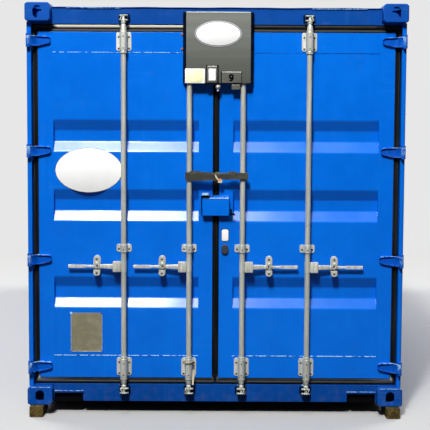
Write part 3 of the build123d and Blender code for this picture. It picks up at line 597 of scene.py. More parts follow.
@dataclass
class Shape:
    """Points and faces of one piece, in millimetres."""

    points: list[np.ndarray] = field(default_factory=list)
    faces: list[list[int]] = field(default_factory=list)
    count: int = 0

    def grids(self, points: np.ndarray, close_rows: bool = False, close_columns: bool = False) -> "Shape":
        """Adds surfaces, each a grid of points whose neighbours make square faces.

        Args:
            points: Array of grids, rows, columns and three coordinates; the first axis may be left out.
            close_rows: Whether the last row joins the first.
            close_columns: Whether the last column joins the first.

        Returns:
            The shape itself.
        """
        points = points[None] if points.ndim == 3 else points
        copies, rows, columns = points.shape[:3]
        row = np.arange(rows if close_rows else rows - 1)[:, None]
        column = np.arange(columns if close_columns else columns - 1)[None, :]
        next_row, next_column = (row + 1) % rows, (column + 1) % columns
        corners = ((row, column), (row, next_column), (next_row, next_column), (next_row, column))
        quads = np.stack(
            [np.broadcast_to(r * columns + c, (len(row), column.size)) for r, c in corners], axis=-1
        )
        every = quads.reshape(1, -1, 4) + (np.arange(copies) * rows * columns)[:, None, None]
        self.faces.extend((every.reshape(-1, 4) + self.count).tolist())
        return self._keep(points)

    def caps(self, rings: np.ndarray) -> "Shape":
        """Closes each ring of points with one flat face.

        Args:
            rings: One ring of points, or a row of rings.

        Returns:
            The shape itself.
        """
        rings = rings[None] if rings.ndim == 2 else rings
        numbers = np.arange(rings.shape[0] * rings.shape[1]).reshape(rings.shape[:2]) + self.count
        self.faces.extend(numbers.tolist())
        return self._keep(rings)

    def _keep(self, points: np.ndarray) -> "Shape":
        """Appends the points and moves the count on.

        Args:
            points: Array of points.

        Returns:
            The shape itself.
        """
        flat = points.reshape(-1, 3)
        self.points.append(flat)
        self.count += len(flat)
        return self

    def placed(self) -> np.ndarray:
        """All points in metres in the shared frame: x, depth from the door end, height above the ground."""
        return (np.concatenate(self.points) + (0.0, DOOR_END, UNDERSIDE)) * MM


def unit(vectors: np.ndarray) -> np.ndarray:
    """The vectors at length one."""
    return vectors / np.linalg.norm(vectors, axis=1, keepdims=True)


def square_to(along: np.ndarray) -> np.ndarray:
    """Unit vectors square to directions in a plane, on their right."""
    return unit(np.stack([along[:, 1], -along[:, 0]], axis=-1))


def full_turn(count: int) -> np.ndarray:
    """Angles once round, evenly spaced."""
    return np.linspace(0, 2 * math.pi, count, endpoint=False)


def drawn_out(wave: np.ndarray, power: float) -> np.ndarray:
    """A sine or cosine drawn out towards 1 and -1 by a power."""
    return np.sign(wave) * np.abs(wave) ** power


def bow(start: np.ndarray, middle: np.ndarray, end: np.ndarray, count: int) -> np.ndarray:
    """Points along a curve from start to end that is drawn towards the middle point."""
    share = np.linspace(0, 1, count)[:, None]
    return (1 - share) ** 2 * start + 2 * share * (1 - share) * middle + share**2 * end


def stacked(x: np.ndarray, depth: np.ndarray, height: np.ndarray) -> np.ndarray:
    """Grid of points out of their coordinates, each a grid, a row or a column."""
    return np.stack(np.broadcast_arrays(x, depth, height), axis=-1)


def capped(rings: np.ndarray) -> Shape:
    """Tube through rings of points, one a row, its first and last ring closed flat."""
    return Shape().grids(rings, close_columns=True).caps(rings[[0, -1]])


def slab(x: np.ndarray, front: np.ndarray, back: np.ndarray, height: np.ndarray) -> Shape:
    """Closed band between a front sheet and a back sheet of points, one ring a row."""
    return capped(np.concatenate([stacked(x, front, height), stacked(x, back, height)[:, ::-1]], axis=1))


def rounded_outline(width: float, height: float, radius: float, steps: int = 6) -> np.ndarray:
    """Rectangle with round corners: a quarter circle at each corner, its centre set in by the radius.

    Args:
        width: Full width.
        height: Full height.
        radius: Corner radius.
        steps: Points on each corner.

    Returns:
        Points anticlockwise, across and up.
    """
    turn = np.arange(4)[:, None] * math.pi / 2 + np.linspace(0, math.pi / 2, steps)
    centres = np.array([(1, 1), (-1, 1), (-1, -1), (1, -1)]) * (width / 2 - radius, height / 2 - radius)
    return (centres[:, None] + radius * np.stack([np.cos(turn), np.sin(turn)], axis=-1)).reshape(-1, 2)


def oval_outline(width: float, height: float, count: int = 72) -> np.ndarray:
    """Ellipse: half the width times the cosine across, half the height times the sine up."""
    turn = full_turn(count)
    return np.stack([np.cos(turn) * width / 2, np.sin(turn) * height / 2], axis=-1)


def plate(outline: np.ndarray, centre: Pair, steps: Sequence[Pair]) -> Shape:
    """Flat piece facing the doors: its outline carried through steps of inset and depth, then closed.

    Each ring is the outline moved inwards along its own normal by the inset, at that depth.

    Args:
        outline: Points anticlockwise, across and up.
        centre: Place of the outline's centre, x and height.
        steps: Pairs of inset and depth from the back to the front.

    Returns:
        The closed shape.
    """
    normal = square_to(np.roll(outline, -1, axis=0) - np.roll(outline, 1, axis=0))
    inset, depth = np.array(steps, float).T[..., None]
    flat = outline[None] - inset[..., None] * normal[None] + np.array(centre)
    return capped(stacked(flat[..., 0], depth, flat[..., 1]))


def turned(profile: Sequence[Pair], centres: Sequence[Place], axis: Place, sides: int = 20) -> Shape:
    """Turns a profile about an axis at every centre.

    A point of the profile lies its distance along the axis, and its radius out, round the full circle.

    Args:
        profile: Pairs of radius and distance along the axis.
        centres: Where the copies stand.
        axis: Unit vector along the axis.
        sides: Faces round the circle.

    Returns:
        The shape with every copy.
    """
    forward = np.array(axis, float)
    side = np.cross(forward, (0.0, 0.0, 1.0) if abs(forward[2]) < 0.9 else (1.0, 0.0, 0.0))
    side /= np.linalg.norm(side)
    upward = np.cross(forward, side)
    turn = full_turn(sides)
    ring = np.cos(turn)[:, None] * side + np.sin(turn)[:, None] * upward
    radius, reach = np.array(profile, float).T
    one = reach[:, None, None] * forward + radius[:, None, None] * ring[None]
    return Shape().grids(np.array(centres, float)[:, None, None] + one[None], close_columns=True)


def pipe(
    path: np.ndarray, radius: np.ndarray | float, sides: int = 10, closed: bool = False, flat: float = 1.0
) -> Shape:
    """Carries a circle along a path.

    Each ring stands square to the path, which is the difference of its neighbours; flat squeezes it
    in the second direction.

    Args:
        path: Points along the path.
        radius: Radius, one number or one a point.
        sides: Faces round the circle.
        closed: Whether the path ends where it starts.
        flat: Share of the radius kept in the direction of depth.

    Returns:
        The shape.
    """
    if closed:
        along = np.roll(path, -1, axis=0) - np.roll(path, 1, axis=0)
    else:
        along = np.gradient(path, axis=0)
    along = unit(along)
    side = np.cross(along, (0.0, 1.0, 0.0))
    weak = np.linalg.norm(side, axis=1, keepdims=True) < 1e-3
    side = unit(np.where(weak, (1.0, 0.0, 0.0), side))
    deep = np.cross(along, side)
    turn = full_turn(sides)
    size = np.broadcast_to(np.asarray(radius, float), (len(path),))[:, None, None]
    ring = np.cos(turn)[None, :, None] * side[:, None] + flat * np.sin(turn)[None, :, None] * deep[:, None]
    rings = path[:, None] + size * ring
    return Shape().grids(rings, close_rows=True, close_columns=True) if closed else capped(rings)


def bead(start: Place, end: Place, size: float, seed: int) -> Shape:
    """Weld bead: a thin pipe whose radius swells and sinks along its length.

    Args:
        start: First end, x, depth and height.
        end: Other end.
        size: Mean radius.
        seed: Seed of the swelling.

    Returns:
        The bead.
    """
    first, last = np.array(start, float), np.array(end, float)
    count = int(np.linalg.norm(last - first) / 7)
    share = np.linspace(0, 1, count)[:, None]
    rough = np.random.default_rng(seed).normal(0, 0.16, count)
    ripple = 1 + 0.2 * np.sin(np.arange(count) * 1.9) + rough
    return pipe(first + share * (last - first), size * ripple.clip(0.45, 1.6), 6)


def joined(*shapes: Shape) -> Shape:
    """One shape out of several.

    Args:
        *shapes: The shapes.

    Returns:
        All of them as one.
    """
    whole = Shape()
    for shape in shapes:
        whole.faces.extend([[n + whole.count for n in face] for face in shape.faces])
        whole.points.extend(shape.points)
        whole.count += shape.count
    return whole


def mirrored(shape: Shape) -> Shape:
    """The twin on the other side of the centre line, its faces turned to point outwards again."""
    return Shape([p * (-1.0, 1.0, 1.0) for p in shape.points], [f[::-1] for f in shape.faces], shape.count)


def on_side(shape: Shape, side: Side) -> Shape:
    """The shape as drawn for the right-hand side, or its twin on the left."""
    return shape if side is Side.RIGHT else mirrored(shape)


@dataclass
class Piece:
    """Turns a shape into a finished object that rides on a body."""

    name: str
    finish: Finish
    slot: str
    body: str = "root"
    crease: float = 34.0
    bevel: float = 0.0
    bevel_steps: int = 2
    within: Shape | None = None
    thickness: float = 0.0
    shell: bool = False
    second: Finish | None = None
    second_rule: Callable[[np.ndarray], np.ndarray] | None = None
    replaces: tuple[str, ...] = ()
    marks: dict[str, Callable[[np.ndarray], np.ndarray]] = field(default_factory=dict)

    def build(self, shape: Shape) -> bpy.types.Object:
        """Makes the object: points in place, doubles merged, faces outwards, edges rounded.

        Args:
            shape: The shape to show.

        Returns:
            The finished object.
        """
        mesh = bpy.data.meshes.new(self.name)
        mesh.from_pydata(shape.placed().tolist(), [], shape.faces)
        work = bmesh.new()
        work.from_mesh(mesh)
        bmesh.ops.remove_doubles(work, verts=work.verts, dist=MERGE_DISTANCE)
        if not self.shell:
            bmesh.ops.recalc_face_normals(work, faces=work.faces)
        work.to_mesh(mesh)
        work.free()
        return self._close(mesh)

    def _close(self, mesh: bpy.types.Mesh) -> bpy.types.Object:
        """Gives the mesh its marks, shading, material, modifiers and body.

        Args:
            mesh: The finished mesh.

        Returns:
            The finished object.
        """
        for name, rule in self.marks.items():
            local = rows_of(mesh.vertices, "co") / MM - (0.0, DOOR_END, UNDERSIDE)
            layer = mesh.attributes.new(name, "FLOAT", "POINT")
            layer.data.foreach_set("value", rule(local).astype(np.float32))
        mesh.polygons.foreach_set("use_smooth", np.ones(len(mesh.polygons), bool))
        mesh.set_sharp_from_angle(angle=math.radians(self.crease))
        if self.bevel and mesh.attributes.get("sharp_edge"):
            mesh.attributes.remove(mesh.attributes["sharp_edge"])
        mesh.materials.clear()
        mesh.materials.append(self.finish.material())
        if self.second:
            mesh.materials.append(self.second.material())
            chosen = self.second_rule(rows_of(mesh.polygons, "normal"))
            mesh.polygons.foreach_set("material_index", chosen.astype(np.int32))
        made = bpy.data.objects.new(self.name, mesh)
        bpy.context.scene.collection.objects.link(made)
        if self.thickness:
            wall = made.modifiers.new("wall", "SOLIDIFY")
            wall.thickness = self.thickness * MM
            wall.offset = -1.0
        if self.bevel:
            edge = made.modifiers.new("edges", "BEVEL")
            edge.width = self.bevel * MM
            edge.segments = self.bevel_steps
            edge.limit_method = "ANGLE"
            edge.angle_limit = math.radians(self.crease)
            edge.harden_normals = True
        elif self.within or self.thickness:
            made.modifiers.new("shading", "WEIGHTED_NORMAL").keep_sharp = True
        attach(made, self.body)
        if self.replaces:
            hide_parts(*self.replaces)
        log.info("piece %s on %s", self.name, self.body)
        return made

    def _cut(self, mesh: bpy.types.Mesh) -> bpy.types.Mesh:
        """The part of the mesh that lies within the piece's limiting shape.

        Args:
            mesh: The whole mesh.

        Returns:
            The part within.
        """
        block = bpy.data.meshes.new(f"{self.name}_limit")
        block.from_pydata(self.within.placed().tolist(), [], self.within.faces)
        limit, whole = (bpy.data.objects.new(data.name, data) for data in (block, mesh))
        for item in (limit, whole):
            bpy.context.scene.collection.objects.link(item)
        cutter = whole.modifiers.new("limit", "BOOLEAN")
        cutter.operation, cutter.solver, cutter.object = "INTERSECT", "EXACT", limit
        cut = bpy.data.meshes.new_from_object(whole.evaluated_get(bpy.context.evaluated_depsgraph_get()))
        for item in (limit, whole):
            bpy.data.objects.remove(item)
        return cut

    def soften(self, node: str) -> bpy.types.Object:
        """Shows a CAD node with rounded edges: a merged copy of its mesh, bevelled, in its place.

        Args:
            node: The CAD node to copy and replace.

        Returns:
            The finished object.
        """
        source = frame["nodes"][node].data
        triangles = rows_of(source.loops, "vertex_index", 1, np.int32)
        mesh = bpy.data.meshes.new(self.name)
        mesh.from_pydata(rows_of(source.vertices, "co").tolist(), [], triangles.tolist())
        work = bmesh.new()
        work.from_mesh(mesh)
        bmesh.ops.remove_doubles(work, verts=work.verts, dist=MERGE_DISTANCE)
        bmesh.ops.dissolve_limit(work, angle_limit=math.radians(1.0), verts=work.verts, edges=work.edges)
        work.to_mesh(mesh)
        work.free()
        if self.within:
            mesh = self._cut(mesh)
        self.replaces = (node,)
        return self._close(mesh)


def rows_of(
    items: bpy.types.bpy_prop_collection, key: str, each: int = 3, kind: type = np.float32
) -> np.ndarray:
    """Reads one property of all elements of a mesh into rows of three numbers.

    Args:
        items: The elements.
        key: The property.
        each: How many numbers it has on one element.
        kind: Kind of number.

    Returns:
        The rows.
    """
    flat = np.zeros(len(items) * each, kind)
    items.foreach_get(key, flat)
    return flat.reshape(-1, 3)


def dress(nodes: Sequence[str], finish: Finish) -> None:
    """Gives CAD nodes that stay as they are their finish."""
    for node in nodes:
        mesh = frame["nodes"][node].data
        mesh.materials.clear()
        mesh.materials.append(finish.material())
    log.info("dressed %s", ", ".join(nodes))


def soften_all(nodes: Sequence[str], finish: Finish, slot: str, width: float) -> None:
    """Shows CAD nodes with rounded edges.

    Args:
        nodes: The CAD nodes.
        finish: Their finish.
        slot: The record's material slot.
        width: Width of the rounding.
    """
    for node in nodes:
        Piece(f"{node}_soft", finish, slot, NODE_BODY[node], bevel=width).soften(node)


# The container


@dataclass
class EndFrame:
    """Posts, castings, header and sill at the doors, and the frame at the closed end."""

    casting_corner: float = 22.0
    plate_edge: float = 1.6
    casting_size: Place = (162.0, 178.0, 118.0)
    casting_x: float = 1138.0
    far_front: float = 5880.0

    def casting_blocks(self, low: float, far: bool) -> Shape:
        """Two blocks with round long edges and a rounded outer end, one at each side.

        Args:
            low: Height of their undersides.
            far: Whether they stand at the closed end.

        Returns:
            Both blocks.
        """
        width, length, height = self.casting_size
        outline = rounded_outline(width + 0.6, height + 0.6, self.casting_corner, 8)
        rounding = ((0.0, 7.0), (1.0, 4.0), (3.4, 1.4), (7.0, -0.4))
        steps = [(0.0, length), *rounding]
        if far:
            steps = [(inset, self.far_front + length - back) for inset, back in steps[::-1]]
        return joined(
            *(plate(outline, (x, low + height / 2), steps) for x in (-self.casting_x, self.casting_x))
        )

    def drip_lip(self) -> Shape:
        """Front edge of the roof sheet over the header: a rounded strip carried across the width.

        Returns:
            The lip.
        """
        turn = full_turn(14)
        x = np.linspace(-1052, 1052, 160)[:, None]
        sag = 0.8 * np.sin(x / 97) + 0.6 * np.sin(x / 41)
        depth = 84 + 17 * drawn_out(np.cos(turn), 0.5)
        height = 2566.5 + sag + 3.2 * drawn_out(np.sin(turn), 0.7)
        return capped(stacked(x, depth, height))

    def build(self) -> None:
        """Shows the frame with soft edges and welds."""
        for node, low, far in (
            ("door_top_castings", 2473.0, False), ("door_bottom_castings", 0.0, False),
            ("end_top_castings", 2473.0, True), ("end_bottom_castings", 0.0, True),
        ):
            casting = Piece(
                f"{node}_soft", CASTING_BLUE, "casting_blue", within=self.casting_blocks(low, far)
            )
            casting.soften(node)
        for side in Side:
            # Pale flaked lines along the frame's top edges: chips and painted highlight.
            chips = joined(*(bead(start, end, 1.7, seed) for seed, (start, end) in enumerate(WORN_AND_HIGHLIGHT_LINES)))
            Piece(f"{side.label}_worn_and_highlight_frame_edges", WORN_EDGE_AND_HIGHLIGHT, "frame_blue").build(on_side(chips, side))
            # A black sheet in each sill notch as painted shade.
            notch_shade = plate(rounded_outline(178, 64, 2), (968.0, 36.0), ((0, 92.0), (0, 90.0)))
            Piece(f"{side.label}_notch_shade_sheet", PRINT_AND_SHADE_BLACK, "underside_paint").build(on_side(notch_shade, side))
        Piece("roof_front_lip", FRAME_BLUE, "frame_blue").build(self.drip_lip())
        soften_all(("door_header", "door_sill"), FRAME_BLUE, "frame_blue", self.plate_edge)
        soften_all(("left_door_post", "right_door_post"), DOOR_BLUE, "frame_blue", self.plate_edge)
        rails = ("left_end_post", "right_end_post", "end_top_rail", "end_bottom_rail")
        rails += (
            "left_top_side_rail", "right_top_side_rail", "left_bottom_side_rail", "right_bottom_side_rail"
        )
        dress(rails, WALL_BLUE)


@dataclass
class Shell:
    """Side walls, closed end, roof, floor and the base under it."""

    def build(self) -> None:
        """Gives the shell its finishes."""
        dress(("left_side_wall", "right_side_wall", "end_wall", "roof"), WALL_BLUE)
        dress(("floor_boards",), PLYWOOD)
        dress(("cross_members", "fork_pockets"), UNDERCOAT)
        soften_all(("timber_blocks",), TIMBER, "timber", 2.5)


@dataclass
class Leaf:
    """One door leaf: pressed panel, frame, weld seams and gasket."""

    side: Side
    bend: float = 7.0
    trough_depth: float = 36.0
    trough_floor: float = 68.0
    trough_slope: float = 70.0
    buckle: float = 0.9

    def panel_depth(self, height: np.ndarray) -> np.ndarray:
        """Depth of the pressed panel: straight slopes into each trough, averaged over the bend length.

        Args:
            height: Heights.

        Returns:
            Depth at each height.
        """
        offsets = np.linspace(-self.bend, self.bend, 9)
        spread = height[..., None] + offsets
        depth = np.zeros_like(spread)
        for middle in TROUGHS:
            away = np.abs(spread - middle) - self.trough_floor / 2
            depth = np.maximum(depth, self.trough_depth * (1 - np.clip(away / self.trough_slope, 0, 1)))
        return LEAF_FRONT + depth.mean(axis=-1)

    def panel(self) -> Shape:
        """Pressed sheet: the trough profile carried across the leaf, with shallow buckles of sine waves.

        Returns:
            The sheet.
        """
        bends = np.concatenate([
            middle + sign * (self.trough_floor / 2 + reach * self.trough_slope) + np.linspace(-10, 10, 9)
            for middle in TROUGHS for sign in (-1, 1) for reach in (0, 1)
        ])
        rims = np.array([PANEL_BOTTOM + 0.7, PANEL_TOP - 0.7])
        height = np.unique(np.concatenate([np.linspace(PANEL_BOTTOM, PANEL_TOP, 90), bends, rims]))
        across = np.unique(
            np.concatenate(
                [np.linspace(PANEL_INSIDE, PANEL_OUTSIDE, 48), [PANEL_INSIDE + 0.7, PANEL_OUTSIDE - 0.7]]
            )
        )
        x, z = np.meshgrid(across, height)
        wave = np.sin(x / 141 + 1.3 * self.side.sign) * np.sin(z / 173 + 0.7) + 0.5 * np.sin(x / 71 + z / 97)
        fade = np.minimum((x - PANEL_INSIDE), (PANEL_OUTSIDE - x)).clip(0, 120) / 120
        depth = self.panel_depth(z) + self.buckle * wave * fade
        return on_side(Shape().grids(stacked(x, depth, z)), self.side)

    def seams(self) -> tuple[Shape, Shape, Shape]:
        """Beads round the panel: along the lower rail, along the upper rail, and up the stiles.

        Returns:
            The three groups of beads.
        """
        front = LEAF_FRONT - 0.4
        lower = bead((PANEL_INSIDE, front, PANEL_BOTTOM), (PANEL_OUTSIDE, front, PANEL_BOTTOM), 2.6, 3)
        upper = bead((PANEL_INSIDE, front + 0.4, PANEL_TOP), (PANEL_OUTSIDE, front + 0.4, PANEL_TOP), 1.8, 4)
        stiles = [
            bead((x, front + 1.4, PANEL_BOTTOM), (x, front + 1.4, PANEL_TOP), 1.5, 7 + seed)
            for seed, x in enumerate((PANEL_INSIDE, PANEL_OUTSIDE))
        ]
        return tuple(on_side(shape, self.side) for shape in (lower, upper, joined(*stiles)))

    def gasket(self) -> Shape:
        """Door seal: a closed ribbed profile carried round the leaf, its corners mitred.

        Returns:
            The seal.
        """
        inner = np.array([
            (LEAF_EDGE - 2, LEAF_BOTTOM + 2),
            (LEAF_SIDE - 2, LEAF_BOTTOM + 2),
            (LEAF_SIDE - 2, LEAF_TOP - 2),
            (LEAF_EDGE - 2, LEAF_TOP - 2),
        ])
        outer = np.array([(1.8, 134.5), (1178.5, 134.5), (1178.5, 2457.0), (1.8, 2457.0)])
        along = np.linspace(0, 1, 30, endpoint=False)[:, None]
        inside = np.concatenate([inner[k] + along * (inner[(k + 1) % 4] - inner[k]) for k in range(4)])
        outside = np.concatenate([outer[k] + along * (outer[(k + 1) % 4] - outer[k]) for k in range(4)])
        share = np.array(
            [0, 0.08, 0.18, 0.3, 0.42, 0.5, 0.56, 0.66, 0.78, 0.9, 0.98, 1.0, 0.94, 0.75, 0.7, 0.5, 0.0]
        )
        depth = np.array([86, 83, 82, 83, 86, 91, 90, 84, 81, 80.5, 81, 83, 86, 92, 111, 112, 112.0])
        flat = inside[:, None] + share[None, :, None] * (outside - inside)[:, None]
        rings = stacked(flat[..., 0], depth, flat[..., 1])
        return on_side(Shape().grids(rings, close_rows=True, close_columns=True), self.side)

    def dust_and_highlight(self, places: np.ndarray) -> np.ndarray:
        """Where the gasket is painted pale, part dust and part painted highlight on its upward faces: along
        the top between the castings, less on the bottom one.

        Args:
            places: Points of the seal.

        Returns:
            Share of pale dust and painted highlight at each.
        """
        across, height = np.abs(places[:, 0]), places[:, 2]
        # The painted highlight is strong on the left door and weak on the right one.
        level = 1.0 if self.side is Side.LEFT else 0.3
        # Nothing pale under the castings: the seal stays black there as painted shadow of the castings.
        inside = np.clip((1046 - across) / 10, 0, 1)
        # Upper part of the top seal and of the bottom seal painted pale as a highlight.
        top = 0.85 * np.clip((height - 2437) / 5, 0, 1) + 0.1 * np.clip((height - 2412) / 10, 0, 1)
        low = np.clip((height - 146) / 8, 0, 1) * np.clip((169 - height) / 3, 0, 1)
        return level * inside * top + (0.42 + 0.3 * np.clip((across - 950) / 200, 0, 1)) * low

    def build(self) -> None:
        """Makes the leaf."""
        label, door = self.side.label, self.side.door
        panel = Piece(
            f"{label}_pressed_panel", DOOR_BLUE, "door_blue", door, replaces=(f"{label}_leaf_panel",)
        )
        panel.shell, panel.thickness = True, 2.0
        panel.build(self.panel())
        soften_all((f"{label}_leaf_frame",), DOOR_BLUE, "door_blue", 2.2)
        lower, upper, stiles = self.seams()
        # Both lower welds and the left upper weld carry pale flakes as painted highlight of the bead; the
        # right upper weld stays dark.
        upper_finish = WORN_EDGE_AND_HIGHLIGHT if self.side is Side.LEFT else FRAME_BLUE
        Piece(f"{label}_lower_weld", WORN_EDGE_AND_HIGHLIGHT, "door_blue", door).build(lower)
        Piece(f"{label}_upper_weld", upper_finish, "door_blue", door).build(upper)
        Piece(f"{label}_stile_welds", DOOR_BLUE, "door_blue", door).build(stiles)
        seal = Piece(f"{label}_door_seal", BLACK_RUBBER, "rubber", door, replaces=(f"{label}_gasket",))
        seal.marks = {"dust_and_highlight": self.dust_and_highlight}
        seal.build(self.gasket())


@dataclass
class Hinges:
    """Lugs on the posts and flanged blades with knuckles on the doors."""

    tip_x: float = 1063.0
    flange: float = 11.0
    upper: Pair = (27.0, 31.0)
    lower: Pair = (15.0, 34.0)

    def blade(self, height: float) -> Shape:
        """One blade: a flanged section carried from its tip on the leaf over the crank to the knuckle.

        Along it the upper edge rises a little and the lower edge falls more from the tip to the root,
        and the front stands out by the flange at both edges.

        Args:
            height: Height of the blade's middle.

        Returns:
            The blade and its knuckle.
        """
        x = np.concatenate(
            [self.tip_x + 17 * (1 - np.cos(np.linspace(0, math.pi / 2, 7))), np.linspace(1084, 1200, 25)]
        )
        middle = np.interp(x, [1062, 1146, 1156, 1178, 1200], [71, 71, 66, 34, 22])
        tip = 1 - ((1080 - x) / 17).clip(0, 1) ** 2 * 0.5
        rise = tip * np.interp(x, [self.tip_x, 1146], self.upper)
        fall = tip * np.interp(x, [self.tip_x, 1146], self.lower)
        share = np.array([-1, -1, -0.96, -0.82, -0.72, 0, 0.72, 0.82, 0.96, 1, 1])
        rim = np.array([0, 0.7, 1, 1, 0, 0, 0, 1, 1, 0.7, 0])
        stand = self.flange * np.interp(x, [1148, 1168], [1, 0.25])
        front = middle[:, None] - 4 - stand[:, None] * rim[None]
        up = height + np.where(share > 0, rise[:, None] * share, fall[:, None] * share)
        return slab(x[:, None], front, middle[:, None] + 4, up)

    def rubbed_and_highlight(self, places: np.ndarray) -> np.ndarray:
        """How pale the blades are painted along their edges, part rubbed paint and part painted highlight:
        most along their upper and lower edges.

        Args:
            places: Points of the blades.

        Returns:
            Share of pale, for bare metal and painted highlight, at each.
        """
        middle = np.array(HINGE_HEIGHTS)
        away = places[:, 2:] - middle
        off = away[np.arange(len(away)), np.abs(away).argmin(axis=1)]
        across = np.abs(places[:, 0])
        top = off - np.interp(across, [self.tip_x, 1146], self.upper) * 0.84
        low = -off - np.interp(across, [self.tip_x, 1146], self.lower) * 0.88
        return np.clip(np.maximum(top, 0.35 * low) / 3, 0, 1)

    def knuckles(self) -> Shape:
        """Round knuckle of each blade on its pin, its ends chamfered."""
        ring = [(8.3, -31.0), (12.5, -31.0), (14.0, -29.0), (14.0, 29.0), (12.5, 31.0), (8.3, 31.0)]
        return turned(ring, [(*PIN_PLACE, height) for height in HINGE_HEIGHTS], (0, 0, 1), 24)

    def build(self) -> None:
        """Makes the hinges."""
        soften_all(("hinge_lugs",), FITTING_BLUE, "fitting_blue", 1.2)
        for side in Side:
            blades = joined(self.knuckles(), *(self.blade(height) for height in HINGE_HEIGHTS))
            blade = Piece(f"{side.label}_blades", FITTING_BLUE, "fitting_blue", side.door)
            blade.replaces, blade.marks = (f"{side.label}_hinge_blades",), {"wear_and_highlight": self.rubbed_and_highlight}
            blade.build(on_side(blades, side))
            head = [(0.0, 46.0), (7.0, 46.0), (11.0, 44.5), (11.5, 42.0), (11.5, 40.0), (0.0, 40.0)]
            pins = turned(head, [(*PIN_PLACE, height) for height in HINGE_HEIGHTS], (0, 0, 1), 18)
            Piece(f"{side.label}_pin_heads", FITTING_BLUE, "fitting_blue").build(on_side(pins, side))


